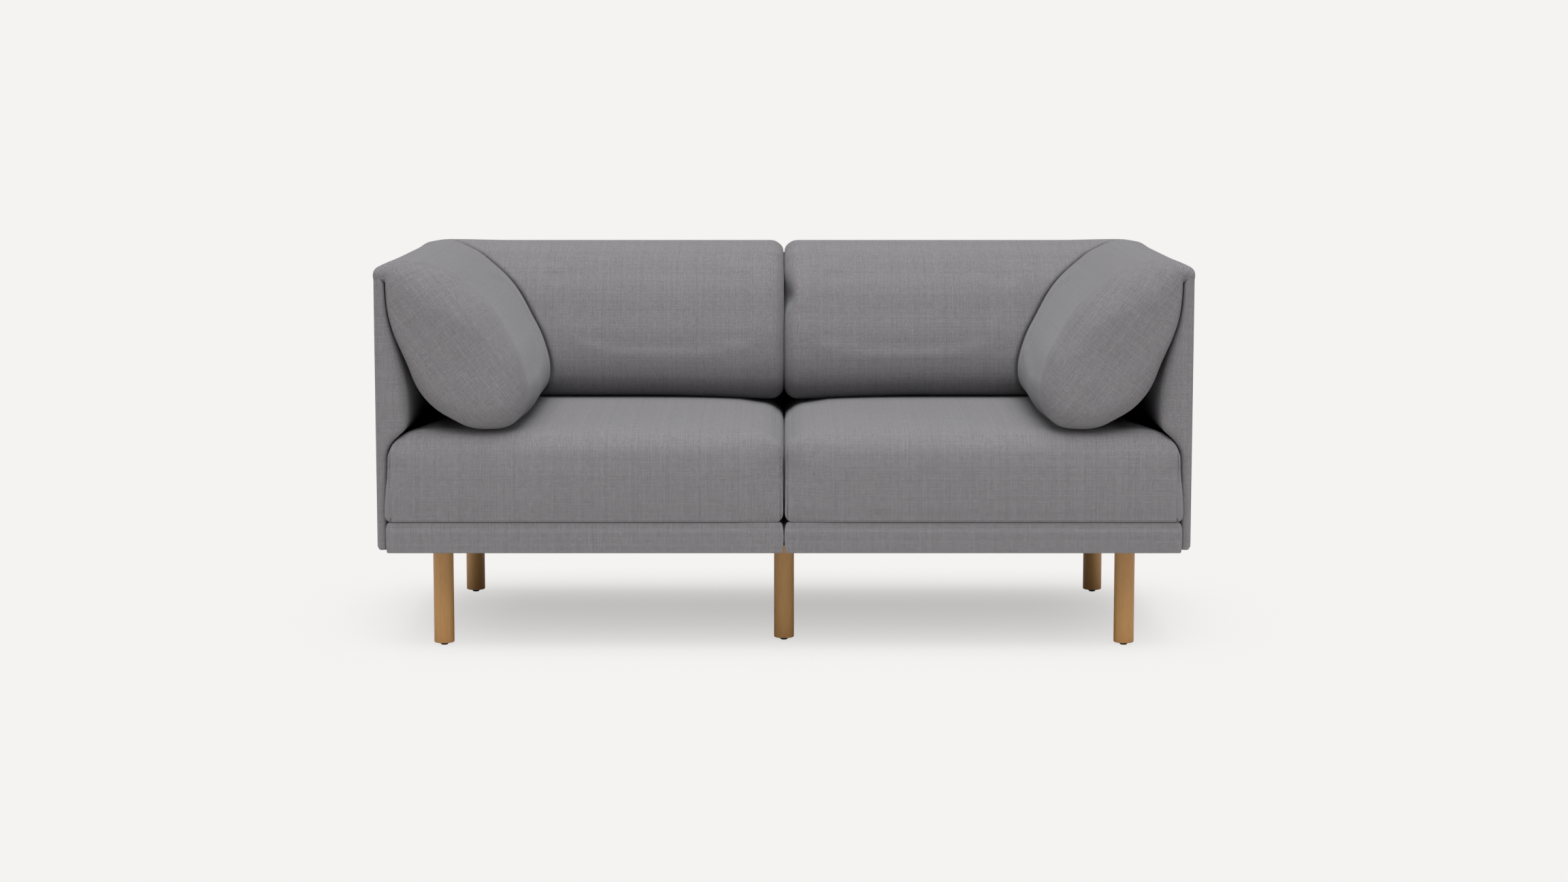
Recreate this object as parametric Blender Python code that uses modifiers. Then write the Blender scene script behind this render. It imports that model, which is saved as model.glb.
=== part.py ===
"""Two-seater sofa built from two mirrored corner modules on six turned legs.

Metres, +Z up. The origin is on the floor under the middle of the sofa, X runs
along its length and the seats face -Y. "left" is the module at -X.
"""

import math

import bmesh
import bpy
from mathutils import Vector

# Whole sofa
sofa_width = 1.625          # over the outer faces of the side panels
sofa_depth = 0.868          # base front to the rear face of the back panels
module_gap = 0.0032         # between the two modules
fit_gap = 0.0003            # between pieces that touch
panel_gap = 0.0005          # between a panel and the base that it hangs on
cushion_gap = 0.0015        # between a loose cushion and its neighbours
cutter_overrun = 0.05       # how far a cutter runs past what it cuts
screw_merge = 0.000002      # points this near the turning axis become one

# Legs, glides, bolts and mounting plates
leg_length = 0.1957
leg_radius = 0.0205
leg_chamfer = 0.0018
glide_proud = 0.0055        # glide below the end of the leg
glide_radius = 0.0082
glide_sole_radius = 0.0052  # flat sole on the floor
glide_stem_radius = 0.0030
glide_stem_length = 0.015
bolt_radius = 0.0040
bolt_in_leg = 0.030
bolt_in_plate = 0.0035
bolt_chamfer = 0.0008
plate_length = 0.110
plate_width = 0.090
plate_height = 0.0040
plate_bevel = 0.001
outer_leg_inset = 0.1205    # leg centre to the outer face of the side panel
outer_leg_setback = 0.118   # leg centre to the base front
centre_leg_setback = 0.1745
rear_leg_setback = 0.110    # leg centre to the rear face of the back panel
rear_centre_setback = 0.167

# Base
base_height = 0.062
cover_wall = 0.006          # fabric and wadding round the frame
cover_bevel = 0.0025
rim_angle = 60              # degrees, only edges sharper than this are rounded
rail_thickness = 0.024
block_height = 0.030
block_side = 0.118
dust_thickness = 0.0015
deck_thickness = 0.006
spring_wire_radius = 0.0019
spring_sweep = 0.030        # half the width of a spring's wave
spring_loop_length = 0.044  # along the spring, one half wave
spring_rest_on_rail = 0.014
spring_flat_shares = (0.22, 0.78)   # where a half wave runs straight across
springs_per_module = 3

# Side and back panels
panel_thickness = 0.022
panel_lift = 0.0050         # panel bottom above the base underside
panel_top_height = 0.756    # above the floor
panel_front_setback = 0.011 # panel front edge behind the base front
panel_edge_radius = 0.0095

# Seat cushions
seat_front_setback = 0.0015
seat_thickness = 0.1785     # at the front edge
seat_crown = 0.0120         # the middle above the edges
seat_top_radius = 0.048
seat_bottom_radius = 0.009
seat_corner_power = 6       # 2 is a round corner in plan, more is squarer
seat_crown_power = 4        # how flat the crown is in the middle

# Side and back cushions, measured in a section across them
cushion_reach = 0.311       # panel's outer face to the front of the swell
cushion_crest_height = 0.788
cushion_end_radius = 0.030
cushion_end_crown = 0.010
cushion_end_ring_share = 0.30   # of the end radius, back from the rim
cushion_end_inset_share = 0.25  # of the end radius, in from the full section
cushion_mitre_radius = 0.011
cushion_end_setback = 0.018 # rim of the rounded end behind the base front

# Section as shares of the reach and of the rise from the foot to the crest.
# Each row is (outer side, inner side), from the foot up.
section_row_shares = (
    ((0.475, 0.045), (0.905, 0.010)),
    ((0.325, 0.160), (0.990, 0.110)),
    ((0.222, 0.330), (1.008, 0.260)),
    ((0.140, 0.515), (0.945, 0.430)),
    ((0.080, 0.690), (0.820, 0.640)),
    ((-0.003, 0.860), (0.640, 0.830)),
    ((-0.003, 0.945), (0.385, 0.965)),
)
foot_shares = ((0.475, 0.045), (0.620, -0.006), (0.790, -0.012), (0.905, 0.010))
crest_shares = ((-0.003, 0.945), (0.060, 0.982), (0.205, 1.006), (0.385, 0.965))
column_shares = (0.0, 1 / 3, 2 / 3, 1.0)
same_place_share = 0.001
length_station_shares = (0.30, 0.65)

cover_corner_radius = cover_wall + fit_gap
base_underside = glide_proud + leg_length + plate_height + 2 * fit_gap
base_top = base_underside + base_height
panel_bottom = base_underside + panel_lift
front_y = -sofa_depth / 2
rear_y = sofa_depth / 2
panel_outer_x = sofa_width / 2
panel_inner_x = panel_outer_x - panel_thickness
panel_front_y = front_y + panel_front_setback
back_panel_front_y = rear_y - panel_thickness
base_outer_x = panel_inner_x - panel_gap
base_inner_x = module_gap / 2
base_rear_y = back_panel_front_y - panel_gap
seat_bottom = base_top + fit_gap
seat_edge_top = seat_bottom + seat_thickness
cushion_foot_height = seat_edge_top + seat_crown + cushion_gap
cushion_rise = cushion_crest_height - cushion_foot_height

sides = (("left", -1), ("right", 1))

grey_fabric = ((0.190, 0.184, 0.189), 0.92, 0.0)
dark_fabric = ((0.020, 0.020, 0.021), 0.95, 0.0)
oiled_oak = ((0.420, 0.235, 0.100), 0.48, 0.0)
frame_timber = ((0.520, 0.380, 0.230), 0.70, 0.0)
black_nylon = ((0.012, 0.012, 0.012), 0.45, 0.0)
zinc_steel = ((0.450, 0.450, 0.440), 0.35, 1.0)
black_steel = ((0.020, 0.020, 0.020), 0.50, 0.6)
white_felt = ((0.600, 0.590, 0.560), 0.95, 0.0)


def clear_scene():
    for obj in list(bpy.data.objects):
        bpy.data.objects.remove(obj, do_unlink=True)


def new_collection(name):
    collection = bpy.data.collections.new(name)
    bpy.context.scene.collection.children.link(collection)
    return collection


def give_material(obj, finish):
    colour, roughness, metallic = finish
    material = bpy.data.materials.new(obj.name)
    material.use_nodes = True
    shader = material.node_tree.nodes["Principled BSDF"]
    shader.inputs["Base Color"].default_value = (*colour, 1.0)
    shader.inputs["Roughness"].default_value = roughness
    shader.inputs["Metallic"].default_value = metallic
    obj.data.materials.append(material)


def add_object(name, data, finish, location=(0, 0, 0)):
    """Puts a new sub-part in the sofa's collection, under the sofa's empty."""
    obj = bpy.data.objects.new(name, data)
    obj.location = location
    sofa_collection.objects.link(obj)
    obj.parent = sofa_empty
    give_material(obj, finish)
    return obj


def add_cutter(name, low, high):
    """A box that other pieces are cut with."""
    obj = bpy.data.objects.new(name, box_mesh(name, Vector(high) - Vector(low)))
    obj.location = (Vector(low) + Vector(high)) / 2
    obj.hide_render = True
    obj.display_type = "WIRE"
    cutter_collection.objects.link(obj)
    return obj


def cut(obj, cutter):
    modifier = obj.modifiers.new("Cut " + cutter.name, "BOOLEAN")
    modifier.operation = "DIFFERENCE"
    modifier.object = cutter
    modifier.solver = "EXACT"


def box_mesh(name, size):
    mesh = bpy.data.meshes.new(name)
    body = bmesh.new()
    bmesh.ops.create_cube(body, size=1.0)
    bmesh.ops.scale(body, vec=size, verts=body.verts)
    body.to_mesh(mesh)
    body.free()
    return mesh


def add_box(name, low, high, finish, bevel=0.0, segments=2):
    """A box between two corners, with its edges rounded by the bevel width."""
    low, high = Vector(low), Vector(high)
    corner_low = Vector([min(a, b) for a, b in zip(low, high)])
    corner_high = Vector([max(a, b) for a, b in zip(low, high)])
    mesh = box_mesh(name, corner_high - corner_low)
    obj = add_object(name, mesh, finish, (corner_low + corner_high) / 2)
    if bevel:
        modifier = obj.modifiers.new("Rounded edges", "BEVEL")
        modifier.width = bevel
        modifier.segments = segments
        modifier.limit_method = "ANGLE"
    return obj


def add_turned(name, profile, steps, finish, location):
    """A turned piece: (radius, height) points that run down the outer side."""
    mesh = bpy.data.meshes.new(name)
    points = [(radius, 0, height) for radius, height in profile]
    edges = [(i, i + 1) for i in range(len(points) - 1)]
    mesh.from_pydata(points, edges, [])
    obj = add_object(name, mesh, finish, location)
    screw = obj.modifiers.new("Turned", "SCREW")
    screw.steps = steps
    screw.render_steps = steps
    screw.use_merge_vertices = True
    screw.merge_threshold = screw_merge
    screw.use_smooth_shade = True
    return obj


def add_hole(obj, name, radius, centre, low, high):
    """Cuts an upright round hole through a piece."""
    mesh = bpy.data.meshes.new(name)
    body = bmesh.new()
    bmesh.ops.create_cone(
        body, cap_ends=True, segments=20, radius1=radius, radius2=radius, depth=high - low
    )
    body.to_mesh(mesh)
    body.free()
    cutter = bpy.data.objects.new(name, mesh)
    cutter.location = (centre[0], centre[1], (low + high) / 2)
    cutter.hide_render = True
    cutter.display_type = "WIRE"
    cutter_collection.objects.link(cutter)
    cut(obj, cutter)


def leg_places():
    """(name, x, y) of each leg: one at each outer corner and two under the joint."""
    outer_x = panel_outer_x - outer_leg_inset
    front = front_y + outer_leg_setback
    rear = rear_y - rear_leg_setback
    return (
        ("front_left", -outer_x, front),
        ("front_centre", 0, front_y + centre_leg_setback),
        ("front_right", outer_x, front),
        ("rear_left", -outer_x, rear),
        ("rear_centre", 0, rear_y - rear_centre_setback),
        ("rear_right", outer_x, rear),
    )


def add_leg(place, x, y):
    bore = bolt_radius + fit_gap
    bore_floor = leg_length - bolt_in_leg - fit_gap
    stem_bore = glide_stem_radius + fit_gap
    stem_floor = glide_stem_length + fit_gap
    profile = (
        (0, bore_floor),
        (bore, bore_floor),
        (bore, leg_length),
        (leg_radius - leg_chamfer, leg_length),
        (leg_radius, leg_length - leg_chamfer),
        (leg_radius, leg_chamfer),
        (leg_radius - leg_chamfer, 0),
        (stem_bore, 0),
        (stem_bore, stem_floor),
        (0, stem_floor),
    )
    leg = add_turned("leg_" + place, profile, 24, oiled_oak, (x, y, glide_proud))
    leg.data.shade_smooth()


def add_glide(place, x, y):
    """A nylon glide: stem in the leg, a domed head under it and a flat sole."""
    top = glide_proud - fit_gap
    drop = glide_radius - glide_sole_radius
    profile = [
        (0, glide_proud + glide_stem_length),
        (glide_stem_radius, glide_proud + glide_stem_length),
        (glide_stem_radius, top),
        (glide_radius, top),
    ]
    arc_steps = 3
    for i in range(1, arc_steps + 1):
        turn = math.pi / 2 * i / arc_steps
        radius = glide_sole_radius + drop * math.cos(turn)
        profile.append((radius, drop * (1 - math.sin(turn))))
    profile.append((0, 0))
    add_turned("glide_" + place, profile, 18, black_nylon, (x, y, 0))


def add_leg_bolt(place, x, y):
    low = glide_proud + leg_length - bolt_in_leg
    length = bolt_in_leg + bolt_in_plate
    profile = (
        (0, length),
        (bolt_radius - bolt_chamfer, length),
        (bolt_radius, length - bolt_chamfer),
        (bolt_radius, bolt_chamfer),
        (bolt_radius - bolt_chamfer, 0),
        (0, 0),
    )
    add_turned("leg_bolt_" + place, profile, 14, zinc_steel, (x, y, low))


def add_leg_plate(place, x, y):
    """The plate that carries a leg's bolt, fastened under the base."""
    low = glide_proud + leg_length + fit_gap
    half_x, half_y = plate_length / 2, plate_width / 2
    plate = add_box(
        "leg_plate_" + place,
        (x - half_x, y - half_y, low),
        (x + half_x, y + half_y, low + plate_height),
        black_steel,
        plate_bevel,
        1,
    )
    add_hole(
        plate,
        "bolt_hole_" + place,
        bolt_radius + fit_gap,
        (x, y),
        low - cutter_overrun,
        low + plate_height + cutter_overrun,
    )


def add_base_cover(side, sign):
    """The fabric skin round one base frame, open above and below."""
    low_x, high_x = sorted((sign * base_inner_x, sign * base_outer_x))
    size = Vector((high_x - low_x, base_rear_y - front_y, base_height))
    mesh = box_mesh(side + "_base_cover", size)
    skin = bmesh.new()
    skin.from_mesh(mesh)
    uprights = [e for e in skin.edges if abs(e.verts[0].co.z - e.verts[1].co.z) > cover_wall]
    bmesh.ops.bevel(
        skin, geom=uprights, offset=cover_corner_radius, segments=3, affect="EDGES", profile=0.5
    )
    flats = [f for f in skin.faces if abs(f.normal.z) > 0.5]
    bmesh.ops.delete(skin, geom=flats, context="FACES_ONLY")
    skin.to_mesh(mesh)
    skin.free()
    centre = ((low_x + high_x) / 2, (base_rear_y + front_y) / 2, base_underside + base_height / 2)
    cover = add_object(side + "_base_cover", mesh, grey_fabric, centre)
    wall = cover.modifiers.new("Wall", "SOLIDIFY")
    wall.thickness = cover_wall
    wall.offset = -1
    wall.use_even_offset = True
    rim = cover.modifiers.new("Rounded rims", "BEVEL")
    rim.width = cover_bevel
    rim.segments = 2
    rim.limit_method = "ANGLE"
    rim.angle_limit = math.radians(rim_angle)


def frame_extent(sign):
    """Outer extent in x and y of the timber frame inside a base cover."""
    outer = sign * (base_outer_x - cover_wall - fit_gap)
    inner = sign * (base_inner_x + cover_wall + fit_gap)
    return outer, inner, front_y + cover_wall + fit_gap, base_rear_y - cover_wall - fit_gap


def frame_heights():
    low = base_underside + dust_thickness + fit_gap
    high = base_top - deck_thickness - 2 * spring_wire_radius - 3 * fit_gap
    return low, high


def add_frame(side, sign):
    """Four rails and the two corner blocks over the outer legs."""
    outer, inner, front, rear = frame_extent(sign)
    low, high = frame_heights()
    add_box(
        side + "_front_rail",
        (outer, front, low),
        (inner, front + rail_thickness, high),
        frame_timber,
    )
    add_box(
        side + "_rear_rail",
        (outer, rear - rail_thickness, low),
        (inner, rear, high),
        frame_timber,
    )
    between_front = front + rail_thickness + fit_gap
    between_rear = rear - rail_thickness - fit_gap
    add_box(
        side + "_outer_rail",
        (outer, between_front, low),
        (outer - sign * rail_thickness, between_rear, high),
        frame_timber,
    )
    add_box(
        side + "_inner_rail",
        (inner, between_front, low),
        (inner + sign * rail_thickness, between_rear, high),
        frame_timber,
    )
    block_outer = outer - sign * (rail_thickness + fit_gap)
    block_inner = block_outer - sign * block_side
    add_box(
        side + "_front_block",
        (block_outer, between_front + fit_gap, low),
        (block_inner, between_front + block_side, low + block_height),
        frame_timber,
    )
    add_box(
        side + "_rear_block",
        (block_outer, between_rear - block_side, low),
        (block_inner, between_rear - fit_gap, low + block_height),
        frame_timber,
    )


def add_springs(side, sign):
    """Wave springs that lie on the front and rear rails and carry the deck."""
    outer, inner, front, rear = frame_extent(sign)
    high = frame_heights()[1]
    start = front + rail_thickness - spring_rest_on_rail
    end = rear - rail_thickness + spring_rest_on_rail
    loops = round((end - start - 2 * spring_rest_on_rail) / spring_loop_length)
    step = (end - start - 2 * spring_rest_on_rail) / loops
    for number in range(1, springs_per_module + 1):
        x = inner + (outer - inner) * number / (springs_per_module + 1)
        points = [(0, start)]
        for i in range(loops):
            reach = spring_sweep if i % 2 == 0 else -spring_sweep
            loop_start = start + spring_rest_on_rail + i * step
            for share in spring_flat_shares:
                points.append((reach, loop_start + step * share))
        points.append((0, end))
        curve = bpy.data.curves.new(f"{side}_spring_{number}", "CURVE")
        curve.dimensions = "3D"
        curve.bevel_depth = spring_wire_radius
        curve.bevel_resolution = 1
        curve.use_fill_caps = True
        spline = curve.splines.new("POLY")
        spline.points.add(len(points) - 1)
        for point, (across, along) in zip(spline.points, points):
            point.co = (across, along, 0, 1)
        height = high + fit_gap + spring_wire_radius
        add_object(f"{side}_spring_{number}", curve, zinc_steel, (x, 0, height))


def add_deck_and_dust_cover(side, sign):
    outer, inner, front, rear = frame_extent(sign)
    add_box(
        side + "_seat_deck",
        (outer, front, base_top - deck_thickness),
        (inner, rear, base_top),
        white_felt,
    )
    add_box(
        side + "_dust_cover",
        (outer, front, base_underside),
        (inner, rear, base_underside + dust_thickness),
        dark_fabric,
    )


def add_panels(side, sign):
    """The side panel runs the whole depth, and the back panel stands inside it."""
    add_box(
        side + "_side_panel",
        (sign * panel_outer_x, panel_front_y, panel_bottom),
        (sign * panel_inner_x, rear_y, panel_top_height),
        grey_fabric,
        panel_edge_radius,
        3,
    )
    add_box(
        side + "_back_panel",
        (sign * (panel_inner_x - panel_gap), back_panel_front_y, panel_bottom),
        (sign * module_gap / 2, rear_y, panel_top_height),
        grey_fabric,
        panel_edge_radius,
        3,
    )


def cage(cuts):
    """A unit cube from -1 to 1, cut across each axis at the given places."""
    body = bmesh.new()
    bmesh.ops.create_cube(body, size=2.0)
    for axis, places in enumerate(cuts):
        normal = [0, 0, 0]
        normal[axis] = 1
        for place in places:
            bmesh.ops.bisect_plane(
                body,
                geom=body.verts[:] + body.edges[:] + body.faces[:],
                dist=same_place_share * same_place_share,
                plane_co=[place * n for n in normal],
                plane_no=normal,
            )
    return body


def finish_cushion(name, body, origin):
    """Makes the cage a smooth cushion whose object sits at its origin."""
    bmesh.ops.recalc_face_normals(body, faces=body.faces)
    bmesh.ops.translate(body, vec=-Vector(origin), verts=body.verts)
    mesh = bpy.data.meshes.new(name)
    body.to_mesh(mesh)
    body.free()
    mesh.shade_smooth()
    obj = add_object(name, mesh, grey_fabric, origin)
    smooth = obj.modifiers.new("Soft form", "SUBSURF")
    smooth.levels = 1
    smooth.render_levels = 1
    return obj


def add_seat_cushion(side, sign):
    """A box cushion with a crowned top, soft upper edges and tighter lower edges."""
    half = Vector(
        (
            (panel_inner_x - cushion_gap - module_gap / 2) / 2,
            (back_panel_front_y - cushion_gap - front_y - seat_front_setback) / 2,
            seat_thickness / 2,
        )
    )
    centre = Vector(
        (
            sign * (half.x + module_gap / 2),
            front_y + seat_front_setback + half.y,
            seat_bottom + half.z,
        )
    )
    soft = [1 - seat_top_radius / length for length in half]
    tight = [1 - seat_bottom_radius / length for length in half]
    body = cage(
        (
            (-tight[0], -soft[0], 0, soft[0], tight[0]),
            (-tight[1], -soft[1], 0, soft[1], tight[1]),
            (-tight[2], 0, soft[2], (1 + soft[2]) / 2),
        )
    )
    for vert in body.verts:
        vert.co = seat_point(vert.co.copy(), half) + centre
    origin = (centre.x, centre.y, seat_bottom)
    finish_cushion(side + "_seat_cushion", body, origin)


def seat_point(unit, half):
    """Moves a point of the cut cube to the cushion's rounded and crowned form."""
    radius = seat_top_radius if unit.z > 0 else seat_bottom_radius
    point = Vector([unit[axis] * half[axis] for axis in range(3)])
    core = Vector(
        [math.copysign(min(abs(point[i]), half[i] - radius), point[i]) for i in range(3)]
    )
    beyond = [abs(value) for value in point - core]
    level = sum(value**seat_corner_power for value in beyond[:2]) ** (1 / seat_corner_power)
    reach = math.hypot(level, beyond[2])
    if reach:
        point = core + (point - core) * (max(beyond) / reach)
    if unit.z > 0:
        crown = (1 - abs(unit.x) ** seat_crown_power) * (1 - abs(unit.y) ** seat_crown_power)
        point.z += seat_crown * crown * unit.z
    return point


def section_point(u, v):
    """(distance in from the panel's outer face, height) in a leaning cushion's section.

    u runs from the outer side to the inner side and v from the foot to the crest,
    both from 0 to 1, over the stations of the share tables.
    """
    rows = len(section_row_shares) - 1
    row = round(v * rows)
    outer, inner = section_row_shares[row]
    column = min(range(len(column_shares)), key=lambda i: abs(column_shares[i] - u))
    if row == 0:
        across, up = foot_shares[column]
    elif row == rows:
        across, up = crest_shares[column]
    else:
        across = outer[0] + (inner[0] - outer[0]) * u
        up = outer[1] + (inner[1] - outer[1]) * u
    return across * cushion_reach, cushion_foot_height + up * cushion_rise


def add_leaning_cushion(name, length, place, origin):
    """A slab cushion that leans on a panel, with a hood over the panel's top.

    It is made in section coordinates (in from the panel's outer face, along the
    panel, height): a rounded end near zero and a mitred end where the other
    panel's outer face would be. place turns these into sofa coordinates.
    """
    rows = len(section_row_shares) - 1
    row_cuts = [2 * row / rows - 1 for row in range(1, rows)]
    column_cuts = [2 * share - 1 for share in column_shares[1:-1]]
    end_ring = cushion_end_radius * cushion_end_ring_share / length
    start_cuts = (end_ring, cushion_end_radius / length)
    end_cuts = (1 - cushion_mitre_radius / length,)
    stations = (*start_cuts, *length_station_shares, *end_cuts)
    half_length = length / 2
    body = cage((column_cuts, [2 * share - 1 for share in stations], row_cuts))
    middle_in, middle_up = section_point(column_shares[1], 0.5)
    for vert in body.verts:
        u, s, v = [(value + 1) / 2 for value in vert.co]
        across, up = section_point(u, v)
        rim = u in (0, 1) or v in (0, 1)
        along = s * length
        if s == 0:
            inset = cushion_end_radius if rim else 0
            bulge = 0 if rim else cushion_end_crown
        elif math.isclose(s, end_ring, rel_tol=same_place_share):
            inset, bulge = cushion_end_radius * cushion_end_inset_share, 0
        elif s == 1:
            inset = cushion_mitre_radius if rim else 0
            bulge = 0
        else:
            inset, bulge = 0, 0
        pull = Vector((middle_in - across, middle_up - up))
        if inset and pull.length:
            pull *= min(1.0, inset / pull.length)
            across += pull.x
            up += pull.y
        if along > half_length:
            past_middle = along / half_length - 1
            along = half_length + past_middle * (half_length - across - cushion_gap)
        vert.co = place(across, along - bulge, up)
    return finish_cushion(name, body, origin)


def add_side_cushion(side, sign):
    start = front_y + cushion_end_setback
    length = rear_y - start

    def place(across, along, up):
        return sign * (panel_outer_x - across), start + along, up

    origin = (sign * panel_inner_x, start + length / 2, cushion_foot_height)
    cushion = add_leaning_cushion(side + "_side_cushion", length, place, origin)
    low_x, high_x = sorted(
        (sign * (panel_inner_x - fit_gap), sign * (panel_outer_x + cutter_overrun))
    )
    cutter = add_cutter(
        side + "_side_panel_room",
        (low_x, front_y - cutter_overrun, panel_bottom),
        (high_x, rear_y + cutter_overrun, panel_top_height + fit_gap),
    )
    cut(cushion, cutter)


def add_back_cushion(side, sign):
    start = module_gap / 2 + cushion_end_crown
    length = panel_outer_x - start

    def place(across, along, up):
        return sign * (start + along), rear_y - across, up

    origin = (sign * (start + length / 2), back_panel_front_y, cushion_foot_height)
    cushion = add_leaning_cushion(side + "_back_cushion", length, place, origin)
    cutter = add_cutter(
        side + "_back_panel_room",
        (-panel_outer_x - cutter_overrun, back_panel_front_y - fit_gap, panel_bottom),
        (panel_outer_x + cutter_overrun, rear_y + cutter_overrun, panel_top_height + fit_gap),
    )
    cut(cushion, cutter)


clear_scene()
sofa_collection = new_collection("Two-seater sofa")
cutter_collection = new_collection("Cutters")
sofa_empty = bpy.data.objects.new("sofa", None)
sofa_collection.objects.link(sofa_empty)

for place_name, leg_x, leg_y in leg_places():
    add_leg(place_name, leg_x, leg_y)
    add_glide(place_name, leg_x, leg_y)
    add_leg_bolt(place_name, leg_x, leg_y)
    add_leg_plate(place_name, leg_x, leg_y)

for side_name, side_sign in sides:
    add_base_cover(side_name, side_sign)
    add_frame(side_name, side_sign)
    add_springs(side_name, side_sign)
    add_deck_and_dust_cover(side_name, side_sign)
    add_panels(side_name, side_sign)
    add_seat_cushion(side_name, side_sign)
    add_back_cushion(side_name, side_sign)
    add_side_cushion(side_name, side_sign)
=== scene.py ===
import math

import bmesh
import bpy
import numpy as np
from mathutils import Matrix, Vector


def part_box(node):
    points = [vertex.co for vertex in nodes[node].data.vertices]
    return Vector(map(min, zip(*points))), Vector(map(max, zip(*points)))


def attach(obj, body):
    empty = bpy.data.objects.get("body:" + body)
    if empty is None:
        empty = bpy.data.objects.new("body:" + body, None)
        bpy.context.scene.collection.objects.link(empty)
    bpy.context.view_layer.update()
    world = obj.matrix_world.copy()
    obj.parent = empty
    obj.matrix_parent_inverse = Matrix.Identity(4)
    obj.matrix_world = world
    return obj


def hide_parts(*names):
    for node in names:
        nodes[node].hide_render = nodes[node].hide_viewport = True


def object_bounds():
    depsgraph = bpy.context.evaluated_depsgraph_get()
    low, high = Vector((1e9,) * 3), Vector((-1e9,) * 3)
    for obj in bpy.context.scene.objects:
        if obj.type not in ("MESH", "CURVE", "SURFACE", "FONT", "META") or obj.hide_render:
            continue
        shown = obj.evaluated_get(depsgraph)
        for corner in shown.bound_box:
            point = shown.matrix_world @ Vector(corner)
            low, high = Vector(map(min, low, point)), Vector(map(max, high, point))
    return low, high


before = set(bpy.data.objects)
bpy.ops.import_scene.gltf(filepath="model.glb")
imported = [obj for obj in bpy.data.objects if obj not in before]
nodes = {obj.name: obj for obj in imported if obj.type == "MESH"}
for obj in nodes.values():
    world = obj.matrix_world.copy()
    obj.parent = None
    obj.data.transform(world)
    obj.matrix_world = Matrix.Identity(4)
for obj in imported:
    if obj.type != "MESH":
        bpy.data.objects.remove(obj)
cadLow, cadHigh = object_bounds()
scene = bpy.context.scene
print("frame loaded:", len(nodes), "nodes")


# Short ways to add objects, pieces and shader nodes

def addObject(name, data):
    made = bpy.data.objects.new(name, data)
    scene.collection.objects.link(made)
    return made


def newObject(name, points, faces, edges=(), material=None):
    mesh = bpy.data.meshes.new(name)
    mesh.from_pydata(points, edges, faces)
    if material:
        mesh.materials.append(material)
    return addObject(name, mesh)


def fit(piece, body, replaced=None):
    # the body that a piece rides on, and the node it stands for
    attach(piece, body)
    if replaced:
        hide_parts(replaced)


class Wires:
    # the shader nodes of a material or of the world
    def __init__(self, owner, empty=False):
        owner.use_nodes = True
        self.owner, self.tree = owner, owner.node_tree
        if empty:
            self.tree.nodes.clear()
        else:
            self.shader = self.tree.nodes["Principled BSDF"]

    def node(self, kind, settings=None, **inputs):
        made = self.tree.nodes.new("ShaderNode" + kind)
        for key, value in (settings or {}).items():
            setattr(made, key, value)
        for key, value in inputs.items():
            self.plug(value, made.inputs[int(key[1:]) if key[0] == "i" and key[1:].isdigit() else key])
        return made

    def plug(self, value, socket):
        if isinstance(value, bpy.types.NodeSocket):
            self.tree.links.new(value, socket)
        else:
            socket.default_value = value

    def maths(self, operation, a, b=0.0, c=0.0):
        return self.node("Math", {"operation": operation}, i0=a, i1=b, i2=c).outputs[0]

    def vector(self, x, y, z=0.0):
        return self.node("CombineXYZ", i0=x, i1=y, i2=z).outputs[0]

    def scaled(self, colour, tone):
        return self.node("VectorMath", {"operation": "SCALE"}, i0=colour, Scale=tone).outputs[0]

    def stretched(self, place, scale):
        return self.node("Mapping", Vector=place, Scale=scale).outputs[0]

    def noise(self, place, scale, detail=2.0, roughness=0.5):
        return self.node("TexNoise", Vector=place, Scale=scale, Detail=detail, Roughness=roughness).outputs[0]

    def mixed(self, share, a, b):
        return self.node("MixShader", i0=share, i1=a, i2=b).outputs[0]

    def blend(self, share, a, b):
        return self.node("Mix", {"data_type": "RGBA"}, i0=share, i6=(*a, 1), i7=(*b, 1)).outputs[2]

    def spread(self, value, low, high, newLow, newHigh, shape="LINEAR"):
        shaped = {"interpolation_type": shape}
        return self.node("MapRange", shaped, i0=value, i1=low, i2=high, i3=newLow, i4=newHigh).outputs[0]

    def finish(self, colour, roughness, height, strength, distance):
        raised = self.node("Bump", Strength=strength, Distance=distance, Height=height).outputs[0]
        for socket, value in (("Base Color", colour), ("Roughness", roughness), ("Normal", raised)):
            self.plug(value, self.shader.inputs[socket])
        return self.owner


# Camera, lights and floor

stage = {
    "background": (0.905, 0.896, 0.880),
    "cameraPlace": (0.0, -6.437, 1.1615),
    "cameraTilt": 83.07,        # degrees from straight down
    "lens": 70.0,
    "sensorWidth": 36.0,
    "roomLight": 0.07,
    "floorColour": (0.80, 0.79, 0.775),
    "floorReach": 9.0,
    "floorLevel": -0.0004,
    "floorShadow": 0.434,       # 1 keeps the whole shadow, 0 none
    "shadowCentre": 0.15,       # in depth; from there it fades out to the sides, back and front
    "shadowSides": (0.52, 1.15),
    "shadowBack": 0.55,
    "shadowFront": 0.93,
}
lamps = {                       # strength, softness and the direction the light comes from
    "overhead": (1.76, 60.0, (0.0, 0.0, 1.0)),
    "front": (1.16, 50.0, (0.0, -0.60, 1.0)),
    "front core": (0.50, 20.0, (0.08, -0.60, 1.0)),
    "right": (0.46, 50.0, (1.0, -0.38, 0.20)),
    "left": (0.48, 50.0, (-1.0, -0.38, 0.20)),
}


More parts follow.
